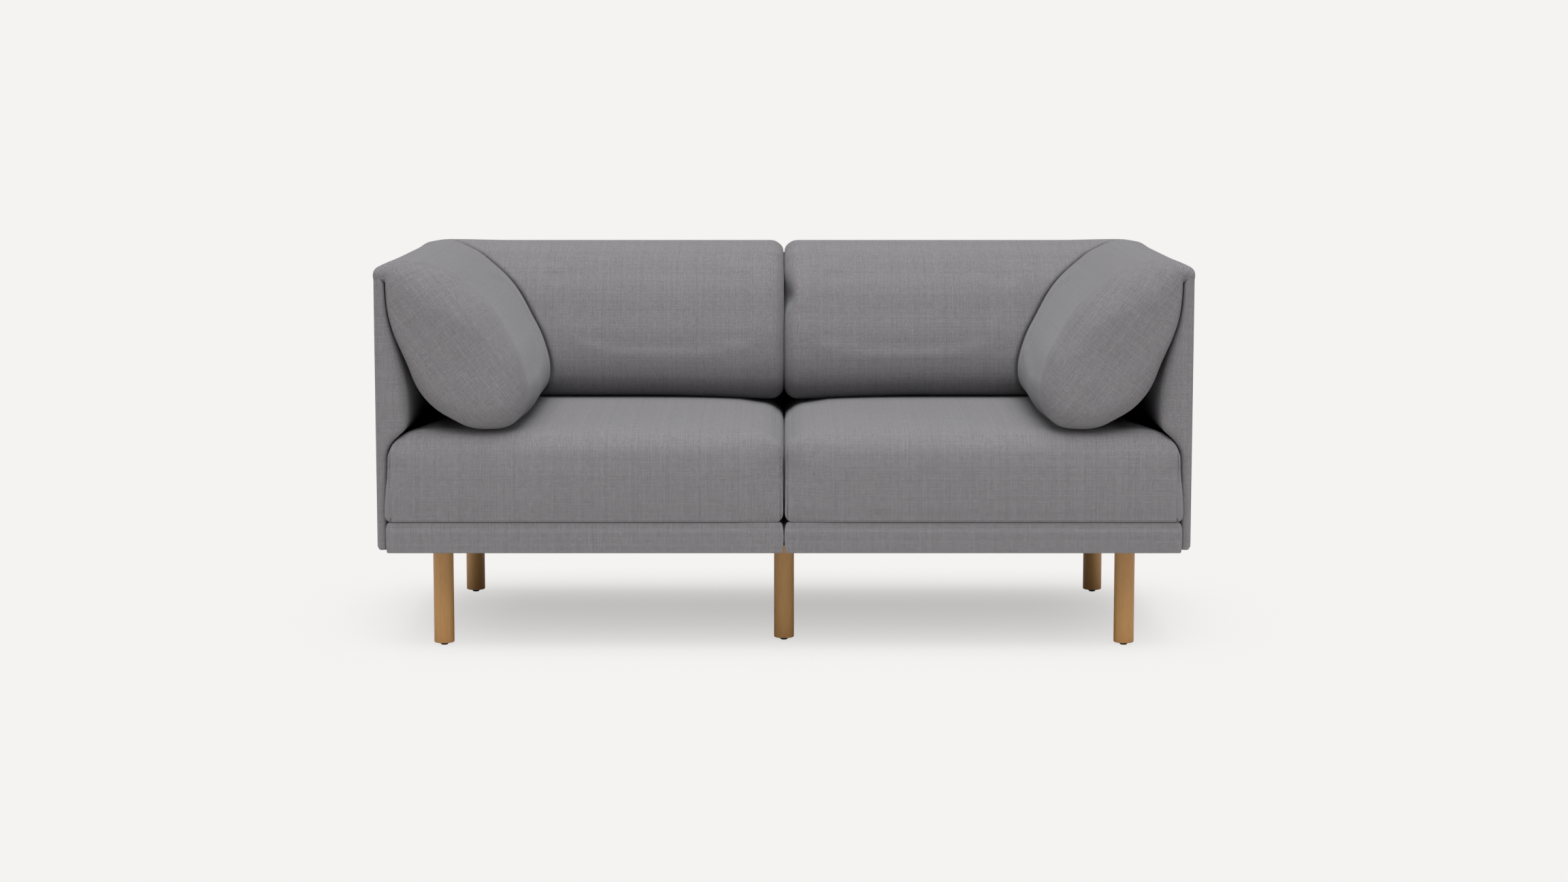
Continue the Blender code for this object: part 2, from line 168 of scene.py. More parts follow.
def makeWorld():
    # plain background for the camera and for reflections, dim light for everything else
    world = bpy.data.worlds.new("studio")
    w = Wires(world, empty=True)
    backdrop = w.node("Background", Color=(*stage["background"], 1)).outputs[0]
    room = w.node("Background", Color=(1.0, 1.0, 1.0, 1), Strength=stage["roomLight"]).outputs[0]
    rays = w.node("LightPath").outputs
    mirrored = w.maths("MAXIMUM", rays["Is Glossy Ray"], rays["Is Transmission Ray"])
    seen = w.maths("MAXIMUM", rays["Is Camera Ray"], mirrored)
    w.node("OutputWorld", Surface=w.mixed(seen, room, backdrop))
    scene.world = world


def makeFloor():
    reach = stage["floorReach"]
    corners = [(x * reach, y * reach, stage["floorLevel"]) for x, y in ((-1, -1), (1, -1), (1, 1), (-1, 1))]
    w = Wires(bpy.data.materials.new("studio floor"), empty=True)
    floor = newObject("floor", corners, [(0, 1, 2, 3)], material=w.owner)
    diffuse = w.node("BsdfDiffuse", Color=(*stage["floorColour"], 1)).outputs[0]
    glow = w.node("Emission", Color=(*stage["background"], 1)).outputs[0]
    # away from the sofa the floor turns into plain background
    x, y = w.node("SeparateXYZ", i0=w.node("TexCoord").outputs["Object"]).outputs[:2]

    def fading(value, near, far):
        return w.spread(value, near, far, 1.0, 0.0, "SMOOTHSTEP")

    depth = w.maths("SUBTRACT", y, stage["shadowCentre"])
    sides = fading(w.maths("ABSOLUTE", x), *stage["shadowSides"])
    behind = fading(depth, 0.0, stage["shadowBack"])
    before = fading(w.maths("MULTIPLY", depth, -1.0), 0.0, stage["shadowFront"])
    before = w.maths("MULTIPLY", before, stage["floorShadow"])
    kept = w.maths("MULTIPLY", w.maths("MULTIPLY", sides, behind), before)
    seen = w.node("LightPath").outputs["Is Camera Ray"]
    share = w.maths("MULTIPLY", w.maths("SUBTRACT", 1.0, kept), seen)
    w.node("OutputMaterial", Surface=w.mixed(share, diffuse, glow))


def makeLamps():
    for name, (strength, softness, toward) in lamps.items():
        light = bpy.data.lights.new(name, "SUN")
        light.energy = strength
        light.angle = math.radians(softness)
        addObject(name, light).rotation_euler = Vector(toward).to_track_quat("Z", "Y").to_euler()


def makeCamera():
    data = bpy.data.cameras.new("camera")
    data.lens = stage["lens"]
    data.sensor_width = stage["sensorWidth"]
    camera = addObject("camera", data)
    camera.location = stage["cameraPlace"]
    camera.rotation_euler = (math.radians(stage["cameraTilt"]), 0, 0)
    scene.camera = camera


makeCamera()
makeWorld()
makeLamps()
makeFloor()
scene.view_settings.view_transform = "Standard"
print("stage ready")


# Materials

cloth = {
    "warpColour": (0.254, 0.244, 0.249),
    "weftColour": (0.204, 0.201, 0.212),
    "threadPitch": 0.00145,
    "slubLength": 0.014,
    "threadContrast": 0.46,
    "hatch": 0.27,              # light and dark threads by turns, in patches
    "crossingContrast": 0.09,
    "paintedThreadShade": (0.88, 1.06),     # painted shade at a thread's edges and painted highlight in its middle
    "wander": 0.35,             # how far a thread strays sideways, in threads
    "mottle": 0.006,
    "fibres": 0.05,
    "scales": {"wander": 60.0, "hatch": 75.0, "mottle": 9.0, "fibres": 2600.0},
    "bump": 0.30,
    "threadHeight": 0.0004,
    "surface": {"Sheen Weight": 0.20, "Sheen Roughness": 0.45, "Sheen Tint": (0.93, 0.95, 1.0, 1),
                "Specular IOR Level": 0.15},
}


def makeCloth(name, warpColour, weftColour):
    w = Wires(bpy.data.materials.new(name))
    contrast, crossing, mottle = cloth["threadContrast"] / 2, cloth["crossingContrast"], cloth["mottle"] / 2
    threadRun, scales = cloth["threadPitch"] / cloth["slubLength"], cloth["scales"]
    x, y = w.node("SeparateXYZ", i0=w.node("UVMap", {"uv_map": "cloth"}).outputs[0]).outputs[:2]

    def noiseAt(layer, scale, detail=2.0):
        return w.noise(w.vector(x, y, layer), scale, detail)

    def inThreads(run, layer):
        # place counted in threads, which stray a little
        stray = w.spread(noiseAt(layer, scales["wander"]), 0.3, 0.7, -cloth["wander"], cloth["wander"])
        return w.maths("ADD", w.maths("DIVIDE", run, cloth["threadPitch"]), stray)

    def hatching(number, layer):
        patch = w.spread(noiseAt(layer, scales["hatch"]), 0.38, 0.66, 0.0, cloth["hatch"])
        return w.maths("MULTIPLY", w.maths("SUBTRACT", w.maths("FLOORED_MODULO", number, 2.0), 0.5), patch)

    def threadTone(number, run, seed):
        # each thread has its own tone, with thicker and thinner lengths along it
        own = w.node("TexWhiteNoise", {"noise_dimensions": "1D"}, W=w.maths("ADD", number, seed)).outputs[0]
        alongIt = w.vector(w.maths("MULTIPLY", number, 7.31), w.maths("MULTIPLY", run, threadRun), seed)
        slub = w.spread(w.noise(alongIt, 1.0), 0.30, 0.70, 0.0, 1.0)
        return w.maths("MULTIPLY_ADD", own, 0.4, w.maths("MULTIPLY", slub, 0.6))

    def roundness(place):
        return w.maths("POWER", w.maths("SINE", w.maths("MULTIPLY", w.maths("FRACT", place), math.pi)), 0.6)

    across, along = inThreads(x, 5.0), inThreads(y, 9.0)
    warpNumber, weftNumber = w.maths("FLOOR", across), w.maths("FLOOR", along)
    warpTone, weftTone = threadTone(warpNumber, along, 3.7), threadTone(weftNumber, across, 51.3)
    over = w.maths("MODULO", w.maths("ABSOLUTE", w.maths("ADD", warpNumber, weftNumber)), 2.0)
    tone = w.maths("MULTIPLY_ADD", over, w.maths("SUBTRACT", weftTone, warpTone), warpTone)
    dome = w.maths("MULTIPLY", roundness(across), roundness(along))
    meeting = w.vector(warpNumber, weftNumber)
    chance = w.node("TexWhiteNoise", {"noise_dimensions": "2D"}, i0=meeting).outputs[0]
    light = w.spread(tone, 0.0, 1.0, 1 - contrast, 1 + contrast)
    for more in (
        w.spread(chance, 0.0, 1.0, -crossing, crossing),
        w.maths("ADD", hatching(warpNumber, 13.0), hatching(weftNumber, 17.0)),
        w.spread(noiseAt(0.0, scales["mottle"], 3.0), 0.3, 0.7, -mottle, mottle),
        w.spread(noiseAt(2.0, scales["fibres"], 1.0), 0.3, 0.7, -cloth["fibres"], cloth["fibres"]),
    ):
        light = w.maths("ADD", light, more)
    # the roundness of each thread is painted into the colour: painted shade at its edges, painted highlight in
    # its middle
    light = w.maths("MULTIPLY", light, w.spread(dome, 0.0, 1.0, *cloth["paintedThreadShade"]))
    for socket, value in cloth["surface"].items():
        w.shader.inputs[socket].default_value = value
    height = w.maths("MULTIPLY_ADD", tone, 0.5, dome)
    colour = w.scaled(w.blend(over, warpColour, weftColour), light)
    return w.finish(colour, 0.93, height, cloth["bump"], cloth["threadHeight"])


wood = {
    "pale": (0.635, 0.340, 0.118),
    "deep": (0.450, 0.224, 0.068),
    "satin": 0.42,
    "ringSpacing": 0.0032,
    "alongGrain": 0.045,        # how much the pattern is drawn out along the grain
    "lateWood": 0.30,           # what each share of the pattern adds to the darkness
    "streaks": 0.38,
    "clouds": 0.22,
    "pores": 0.35,
    "scales": {"wander": 14.0, "streaks": 900.0, "pores": 1500.0, "clouds": 60.0},
    "timber": ((0.56, 0.41, 0.25), (0.42, 0.28, 0.15), 0.72),
}


def makeWood(name, pale, deep, roughness, alongAxis="z"):
    w, scales = Wires(bpy.data.materials.new(name)), wood["scales"]
    place = w.node("TexCoord").outputs["Object"]
    grain = w.stretched(place, [wood["alongGrain"] if axis == alongAxis else 1.0 for axis in "xyz"])
    part = w.node("SeparateXYZ", i0=place).outputs
    first, second = {"x": (2, 1), "y": (0, 2), "z": (0, 1)}[alongAxis]
    side = w.maths("MULTIPLY_ADD", part[first], 0.82, w.maths("MULTIPLY", part[second], 0.57))
    rings = w.maths("MULTIPLY_ADD", w.noise(grain, scales["wander"]), 0.03, side)
    late = w.maths("POWER", w.maths("FRACT", w.maths("DIVIDE", rings, wood["ringSpacing"])), 3.0)
    streak = w.noise(grain, scales["streaks"], 3.0, 0.6)
    pores = w.noise(w.stretched(grain, (1.7, 1.7, 1.7)), scales["pores"], 1.0)
    pores = w.spread(pores, 0.62, 0.74, 0.0, 1.0)
    clouds = w.spread(w.noise(grain, scales["clouds"]), 0.35, 0.65, 0.0, 1.0)
    tone = w.maths("MULTIPLY", w.spread(streak, 0.3, 0.7, 0.0, 1.0), wood["streaks"])
    for pattern, share in ((late, wood["lateWood"]), (clouds, wood["clouds"]), (pores, wood["pores"])):
        tone = w.maths("MULTIPLY_ADD", pattern, share, tone)
    gloss = w.maths("MULTIPLY_ADD", tone, 0.18, roughness)
    height = w.maths("SUBTRACT", 1.0, w.maths("MULTIPLY_ADD", pores, 0.8, w.maths("MULTIPLY", streak, 0.3)))
    return w.finish(w.blend(tone, pale, deep), gloss, height, 0.25, 0.0002)


def makeMetal(name, colour, roughness, metallic):
    w = Wires(bpy.data.materials.new(name))
    place = w.node("TexCoord").outputs["Object"]
    speck = w.noise(place, 1400.0, 3.0)
    tone = w.spread(w.noise(place, 40.0), 0.3, 0.7, 0.88, 1.10)
    gloss = w.spread(speck, 0.3, 0.7, roughness - 0.08, roughness + 0.10)
    w.shader.inputs["Metallic"].default_value = metallic
    return w.finish(w.scaled(colour, tone), gloss, speck, 0.12, 0.0001)


def makeFelt(name, colour, fibreScale, contrast):
    w = Wires(bpy.data.materials.new(name))
    place = w.node("TexCoord").outputs["Object"]
    longWay, crossWay = [w.noise(w.stretched(place, scale), fibreScale, 3.0)
                         for scale in ((1.0, 0.12, 0.4), (0.12, 1.0, 0.4))]
    fibres = w.maths("MAXIMUM", longWay, crossWay)
    cloud = w.spread(w.noise(place, 22.0, 3.0), 0.3, 0.7, -0.06, 0.06)
    tone = w.maths("ADD", w.spread(fibres, 0.4, 0.75, 1 - contrast, 1 + contrast), cloud)
    w.shader.inputs["Sheen Weight"].default_value = 0.15
    return w.finish(w.scaled(colour, tone), 0.95, fibres, 0.5, 0.0006)


clothMain = makeCloth("grey linen weave", cloth["warpColour"], cloth["weftColour"])
oak = makeWood("oiled oak", wood["pale"], wood["deep"], wood["satin"])
timberX = makeWood("rail timber crosswise", *wood["timber"], "x")
timberY = makeWood("rail timber lengthwise", *wood["timber"], "y")
nylon = makeMetal("black nylon", (0.014, 0.014, 0.015), 0.42, 0.0)
blackSteel = makeMetal("black coated steel", (0.022, 0.022, 0.023), 0.50, 0.3)
zincSteel = makeMetal("zinc plated steel", (0.52, 0.52, 0.51), 0.34, 1.0)
feltWhite = makeFelt("white felt", (0.60, 0.59, 0.56), 900.0, 0.16)
spunbond = makeFelt("black spunbond", (0.022, 0.022, 0.024), 1300.0, 0.35)
thread = makeFelt("grey sewing thread", (0.27, 0.265, 0.27), 2400.0, 0.15)
zipTape = makeFelt("dark zip tape", (0.045, 0.045, 0.047), 1900.0, 0.25)
staple = makeMetal("bright staple wire", (0.60, 0.60, 0.58), 0.30, 1.0)
print("materials ready")


# Meshes that are grids wrapped round a block

def skinOfBlock(counts):
    # places of the nodes on a block's skin, and its quads with the side each one is on
    index = np.full([n + 1 for n in counts], -1)
    for axis in range(3):
        for end in (0, -1):
            np.moveaxis(index, axis, 0)[end] = 0
    places = np.argwhere(index == 0)
    index[tuple(places.T)] = np.arange(len(places))
    quads, sides = [], []
    for axis in range(3):
        for end in (0, 1):
            face = np.take(index, end * counts[axis], axis)
            quad = np.stack([face[:-1, :-1], face[1:, :-1], face[1:, 1:], face[:-1, 1:]], -1).reshape(-1, 4)
            outwards = (end == 1) != (axis == 1)
            quads.append(quad if outwards else quad[:, ::-1])
            sides += [(axis, end)] * len(quad)
    return places, np.concatenate(quads), np.array(sides)


def naturalSpline(knots, targets):
    # matrix that turns values at the knots into values at the targets along a smooth curve
    knots, targets = np.asarray(knots, float), np.asarray(targets, float)
    count = len(knots)
    gap = np.diff(knots)
    system, right = np.eye(count), np.zeros((count, count))
    for i in range(1, count - 1):
        system[i, i - 1:i + 2] = gap[i - 1], 2 * (gap[i - 1] + gap[i]), gap[i]
        right[i, i - 1:i + 2] = 6 / gap[i - 1], -6 / gap[i - 1] - 6 / gap[i], 6 / gap[i]
    bend = np.linalg.solve(system, right)
    cell = np.clip(np.searchsorted(knots, targets, side="right") - 1, 0, count - 2)
    after = ((targets - knots[cell]) / gap[cell])[:, None]
    before = 1 - after
    own = np.eye(count)
    squared = (gap[cell] ** 2)[:, None] / 6
    curved = ((before**3 - before) * bend[cell] + (after**3 - after) * bend[cell + 1]) * squared
    return before * own[cell] + after * own[cell + 1] + curved


def smoothCurve(points, shares):
    # points at these shares of the length of a smooth curve, and its length
    points = np.array(points, float)
    knots = np.concatenate(([0], np.cumsum(np.sqrt(np.linalg.norm(np.diff(points, axis=0), axis=1)))))
    dense = naturalSpline(knots, np.linspace(0, knots[-1], 900)) @ points
    run = np.concatenate(([0], np.cumsum(np.linalg.norm(np.diff(dense, axis=0), axis=1))))
    found = [np.interp(np.asarray(shares) * run[-1], run, dense[:, k]) for k in range(points.shape[1])]
    return np.stack(found, -1), run[-1]


def smoothStep(value, low, high):
    t = np.clip((value - low) / (high - low), 0, 1)
    return t * t * (3 - 2 * t)


def bump(value, centre, width):
    return np.exp(-(((value - centre) / width) ** 2))


def roundedInset(distance, radius):
    # how far a rounded edge lies inside, at this distance from the end of the face
    reach = np.clip(1 - distance / radius, 0, 1)
    return radius * (1 - np.sqrt(1 - reach**2))


def newPiece(name, points, quads, uv, material):
    # faces are turned outwards by the sign of the volume they enclose
    a, b, c, d = [points[quads[:, k]] for k in range(4)]
    volume = np.einsum("ij,ij->i", a, np.cross(b, c)).sum() + np.einsum("ij,ij->i", a, np.cross(c, d)).sum()
    if volume < 0:
        quads, uv = quads[:, ::-1], uv[:, ::-1]
    piece = newObject(name, points.tolist(), quads.tolist(), material=material)
    piece.data.shade_smooth()
    layer = piece.data.uv_layers.new(name="cloth")
    layer.data.foreach_set("uv", np.ascontiguousarray(uv, np.float32).ravel())
    return piece


swelling = {
    "frames": 18,
    "step": 0.014,              # of the coarse copies that are blown up
    "cap": 0.0033,              # the most that a leaning cushion's cover moves
    "seatCap": 0.0025,
    "cloth": {
        "quality": 5,
        "mass": 0.25,
        "tension_stiffness": 25,
        "compression_stiffness": 25,
        "shear_stiffness": 12,
        "bending_stiffness": 2.0,
        "use_pressure": True,
        "uniform_pressure_force": 4.0,
        "vertex_group_mass": "held",
        "pin_stiffness": 1,
    },
}


def swell(points, quads, held, most):
    # how far a filled cover moves when it is blown up, as one vector for each point
    cover = newObject("swelling cover", points.tolist(), quads.tolist())
    group = cover.vertex_groups.new(name="held")
    for i in np.flatnonzero(held > 0.01):
        group.add([int(i)], float(held[i]), "REPLACE")
    modifier = cover.modifiers.new("Cloth", "CLOTH")
    for key, value in swelling["cloth"].items():
        setattr(modifier.settings, key, value)
    modifier.settings.effector_weights.gravity = 0
    modifier.point_cache.frame_end = swelling["frames"]
    for step in range(1, swelling["frames"] + 1):
        scene.frame_set(step)
    evaluated = cover.evaluated_get(bpy.context.evaluated_depsgraph_get())
    moved = np.empty(len(points) * 3)
    evaluated.data.vertices.foreach_get("co", moved)
    bpy.data.objects.remove(cover, do_unlink=True)
    scene.frame_set(1)
    shift = moved.reshape(-1, 3) - points
    length = np.linalg.norm(shift, axis=1, keepdims=True)
    return shift * (most * np.tanh(length / most) / np.maximum(length, 1e-9))


def onFinerGrid(values, coarse, fine):
    # carries values on the skin of a coarse block over to the skin of a finer one
    coarsePlaces, finePlaces = coarse[0], fine[0]
    block = np.zeros([len(k) for k in coarse[1]] + [3])
    block[tuple(coarsePlaces.T)] = values
    turn = [naturalSpline(coarse[1][axis], fine[1][axis]) for axis in range(3)]
    found = np.zeros([len(k) for k in fine[1]] + [3])
    for axis in range(3):
        first, second = [k for k in range(3) if k != axis]
        for end in (0, -1):
            face = np.take(block, end, axis)
            made = np.einsum("ai,bj,ijk->abk", turn[first], turn[second], face)
            np.moveaxis(found, axis, 0)[end] = made
    return found[tuple(finePlaces.T)]


def edgeStations(length, near, middleStep):
    # places from 0 to length, close together by the ends
    near = np.array(near)
    count = max(2, round((length - 2 * near[-1]) / middleStep))
    middle = np.linspace(near[-1], length - near[-1], count + 1)[1:-1]
    return np.concatenate((near, middle, length - near[::-1]))


# Small things in rows, made with geometry nodes

def makeRowTree(name, onPath):
    # copies of an item along a path, or one at each point; "up" points away from the surface they stand on
    tree = bpy.data.node_groups.new(name, "GeometryNodeTree")
    for socket, kind in (("Path", "Geometry"), ("Item", "Object"), ("Finish", "Material"), ("Spacing", "Float"),
                         ("Unevenness", "Float"), ("Turning", "Float"), ("Seed", "Int")):
        tree.interface.new_socket(socket, in_out="INPUT", socket_type="NodeSocket" + kind)
    tree.interface.new_socket("Row", in_out="OUTPUT", socket_type="NodeSocketGeometry")

    def add(kind, settings=None, **inputs):
        made = tree.nodes.new(kind)
        for key, value in (settings or {}).items():
            setattr(made, key, value)
        for key, value in inputs.items():
            socket = made.inputs[key.replace("_", " ")]
            if isinstance(value, bpy.types.NodeSocket):
                tree.links.new(value, socket)
            else:
                socket.default_value = value
        return made

    given = add("NodeGroupInput").outputs
    up = add("GeometryNodeInputNamedAttribute", {"data_type": "FLOAT_VECTOR"}, Name="up").outputs["Attribute"]
    standing = add("FunctionNodeAlignRotationToVector", {"axis": "Z"}, Vector=up).outputs[0]
    if onPath:
        line = add("GeometryNodeMeshToCurve", Mesh=given["Path"]).outputs[0]
        places = add("GeometryNodeResampleCurve", {"mode": "LENGTH"}, Curve=line,
                     Length=given["Spacing"]).outputs[0]
        along = add("GeometryNodeInputTangent").outputs[0]
        turned = add("FunctionNodeAlignRotationToVector", {"axis": "X", "pivot_axis": "Z"},
                     Rotation=standing, Vector=along).outputs[0]
    else:
        places = add("GeometryNodeMeshToPoints", Mesh=given["Path"]).outputs[0]
        turned = standing
    spin = add("ShaderNodeMath", {"operation": "MULTIPLY"})
    chance = add("FunctionNodeRandomValue", {"data_type": "FLOAT"}, Seed=given["Seed"])
    chance.inputs[2].default_value, chance.inputs[3].default_value = -1.0, 1.0
    tree.links.new(chance.outputs[1], spin.inputs[0])
    tree.links.new(given["Turning"], spin.inputs[1])
    aboutUp = add("FunctionNodeAxisAngleToRotation", Axis=(0.0, 0.0, 1.0), Angle=spin.outputs[0]).outputs[0]
    placed = add("FunctionNodeRotateRotation", {"rotation_space": "LOCAL"}, Rotation=turned,
                 Rotate_By=aboutUp).outputs[0]
    size = add("ShaderNodeMath", {"operation": "MULTIPLY_ADD"})
    tree.links.new(chance.outputs[1], size.inputs[0])
    tree.links.new(given["Unevenness"], size.inputs[1])
    size.inputs[2].default_value = 1.0
    scale = add("ShaderNodeCombineXYZ", X=size.outputs[0], Y=1.0, Z=1.0).outputs[0]
    item = add("GeometryNodeObjectInfo", Object=given["Item"]).outputs["Geometry"]
    row = add("GeometryNodeInstanceOnPoints", Points=places, Instance=item, Rotation=placed,
              Scale=scale).outputs[0]
    real = add("GeometryNodeRealizeInstances", Geometry=row).outputs[0]
    finished = add("GeometryNodeSetMaterial", Geometry=real, Material=given["Finish"]).outputs[0]
    tree.links.new(finished, add("NodeGroupOutput").inputs[0])
    return tree


pathTree = makeRowTree("items along a path", True)
pointTree = makeRowTree("items at points", False)


def makeRow(name, tree, lines, item, finish, spacing=0.01, unevenness=0.0, turning=0.0, seed=1):
    # lines are pairs of points and the ways up from the surface there; the result is one plain mesh
    points = np.concatenate([line[0] for line in lines])
    ups = np.concatenate([line[1] for line in lines])
    edges, first = [], 0
    for line in lines:
        edges += [(first + k, first + k + 1) for k in range(len(line[0]) - 1)]
        first += len(line[0])
    carrier = newObject(name + " path", points.tolist(), [], edges if tree is pathTree else [])
    carrier.data.attributes.new("up", "FLOAT_VECTOR", "POINT").data.foreach_set("vector", ups.ravel())
    modifier = carrier.modifiers.new("row", "NODES")
    modifier.node_group = tree
    values = {"Item": item, "Finish": finish, "Spacing": spacing, "Unevenness": unevenness, "Turning": turning,
              "Seed": seed}
    for socket in tree.interface.items_tree:
        if socket.in_out == "INPUT" and socket.name in values:
            modifier[socket.identifier] = values[socket.name]
    mesh = bpy.data.meshes.new_from_object(carrier.evaluated_get(bpy.context.evaluated_depsgraph_get()))
    carrier.modifiers.remove(modifier)
    bpy.data.objects.remove(carrier, do_unlink=True)
    mesh.name = name
    return addObject(name, mesh)


def ringFaces(rings, around):
    # quads between closed rings of points that follow one another, and the two ends
    faces = []
    for first in range(0, (rings - 1) * around, around):
        for k in range(around):
            a, b = first + k, first + (k + 1) % around
            faces.append((a, b, b + around, a + around))
    last = (rings - 1) * around
    return faces, [tuple(range(around - 1, -1, -1)), tuple(range(last, last + around))]


def smallItem(name, points, rings, around):
    faces, ends = ringFaces(rings, around)
    item = newObject(name, points, faces + ends)
    item.hide_render = True
    return item


def smallBar(name, size, lift, ends=0.7):
    # a bar along X with chamfered ends and edges, its underside at "lift"
    x, y, z = size[0] / 2, size[1] / 2, size[2]
    points = []
    for along, share in ((-x, ends * 0.55), (-x * 0.8, 1.0), (x * 0.8, 1.0), (x, ends * 0.55)):
        for wide, high in ((-1, 0), (1, 0), (1, 0.6), (0.55, 1), (-0.55, 1), (-1, 0.6)):
            points.append((along, wide * y * share, lift + high * z * share))
    return smallItem(name, points, 4, 6)


def screwHead(name, radius, height, around):
    # a pan head with a six sided recess
    profile = ((radius, 0), (radius, height * 0.35), (radius * 0.86, height * 0.8), (radius * 0.62, height),
               (radius * 0.40, height), (radius * 0.36, height * 0.25))
    points = []
    for number, (far, high) in enumerate(profile):
        for turn in 2 * math.pi * np.arange(around) / around:
            hexagon = math.cos(math.pi / 6) / math.cos((turn % (math.pi / 3)) - math.pi / 6)
            reach = far * (hexagon if number > 3 else 1)
            points.append((reach * math.cos(turn), reach * math.sin(turn), high))
    return smallItem(name, points, len(profile), around)


small = {
    "stitch": (0.0037, 0.0011, 0.00065),        # length, width and thickness
    "stitchSpacing": 0.0047,
    "stitchUnevenness": 0.05,
    "tooth": (0.0010, 0.0052, 0.0013),
    "toothSpacing": 0.0016,
    "tapeWidth": 0.030,
    "tapeThickness": 0.0007,
    "puller": (                                 # size and place of slider, link and tab
        ((0.011, 0.009, 0.0036), (0, 0, 0.0026)),
        ((0.0045, 0.0045, 0.0018), (0.001, 0, 0.0050)),
        ((0.026, 0.0062, 0.0014), (0.0125, 0, 0.0058)),
    ),
    "pullerBevel": 0.0005,
    "pullerAt": 4,                              # point of the zip's path
    "staple": (0.0105, 0.0013, 0.0006),
    "stapleSpacing": 0.052,
    "stapleUnevenness": 0.03,
    "stapleTurning": 0.12,
    "stapleInset": 0.007,
    "stapleTrim": 0.03,                         # none so near to the corners
    "screwRadius": 0.0048,
    "screwHeight": 0.0026,
    "screwSides": 18,
    "screwTurning": 3.0,
    "screwPlaces": (0.045, 0.034),              # from the middle of a leg plate
}
stitchItem = smallBar("stitch", small["stitch"], 0.0)
toothItem = smallBar("zip tooth", small["tooth"], small["tapeThickness"] * 0.6)
stapleItem = smallBar("staple", small["staple"], -0.0001, 0.9)
screwItem = screwHead("screw", small["screwRadius"], small["screwHeight"], small["screwSides"])


def normalised(vectors):
    return vectors / np.maximum(np.linalg.norm(vectors, axis=-1, keepdims=True), 1e-9)


def makeTape(name, points, ups, width, thickness, material):
    # a flat closed band along a path on a surface
    across = normalised(np.cross(ups, normalised(np.gradient(points, axis=0))))
    outline = ((-1, -0.4), (1, -0.4), (1, 0.6), (0.25, 1.0), (-0.25, 1.0), (-1, 0.6))
    ring = np.stack([points + across * side * width / 2 + ups * high * thickness
                     for side, high in outline], 1)
    faces, ends = ringFaces(len(points), len(outline))
    return newObject(name, ring.reshape(-1, 3).tolist(), faces + ends, material=material)


def makePuller(name, place, along, up, material):
    # slider body and a tab that lies along the zip
    along, up = Vector(along).normalized(), Vector(up).normalized()
    across = up.cross(along)
    bm = bmesh.new()
    for size, shift in small["puller"]:
        for vert in bmesh.ops.create_cube(bm, size=1.0)["verts"]:
            local = Vector(vert.co[k] * size[k] + shift[k] for k in range(3))
            vert.co = Vector(place) + along * local.x + across * local.y + up * local.z
    bmesh.ops.bevel(bm, geom=list(bm.edges), offset=small["pullerBevel"], segments=2, affect="EDGES",
                    clamp_overlap=True)
    bmesh.ops.recalc_face_normals(bm, faces=list(bm.faces))
    mesh = bpy.data.meshes.new(name)
    bm.to_mesh(mesh)
    bm.free()
    mesh.materials.append(material)
    return addObject(name, mesh)


def makeZip(owner, points, ups):
    # tape, teeth and puller on the back of a cushion
    tape = makeTape(owner + "_zip_tape", points, ups, small["tapeWidth"], small["tapeThickness"], zipTape)
    teeth = makeRow(owner + "_zip_teeth", pathTree, [(points, ups)], toothItem, nylon,
                    small["toothSpacing"])
    at = small["pullerAt"]
    along = points[at + 1] - points[at]
    puller = makePuller(owner + "_zip_puller", points[at], along, ups[at], zincSteel)
    for piece in (tape, teeth, puller):
        fit(piece, owner + "_body")


# Everything is made for the left module and mirrored to the right

cutFrom = {                     # which length of the cloth a cover is cut from, left and right
    "side_cushion": (2, 3), "back_cushion": (4, 5), "seat_cushion": (7, 8), "side_panel": (11, 12),
    "back_panel": (12, 13), "base_cover": (17, 18),
}


def onSide(side, points):
    return points if side == "left" else points * np.array((-1.0, 1.0, 1.0))


def clothLength(side, kind):
    return cutFrom[kind][side == "right"]


def makeCover(side, kind, placed, quads, uv, body, ending="_cover"):
    length = clothLength(side, kind)
    uv = uv + np.array((0.731 * length, 1.217 * length))
    piece = newPiece(f"{side}_{kind}{ending}", placed, quads, uv, clothMain)
    fit(piece, body, f"{side}_{kind}")


# Leaning cushions: (in from the panel's outer face, height) in a section across them

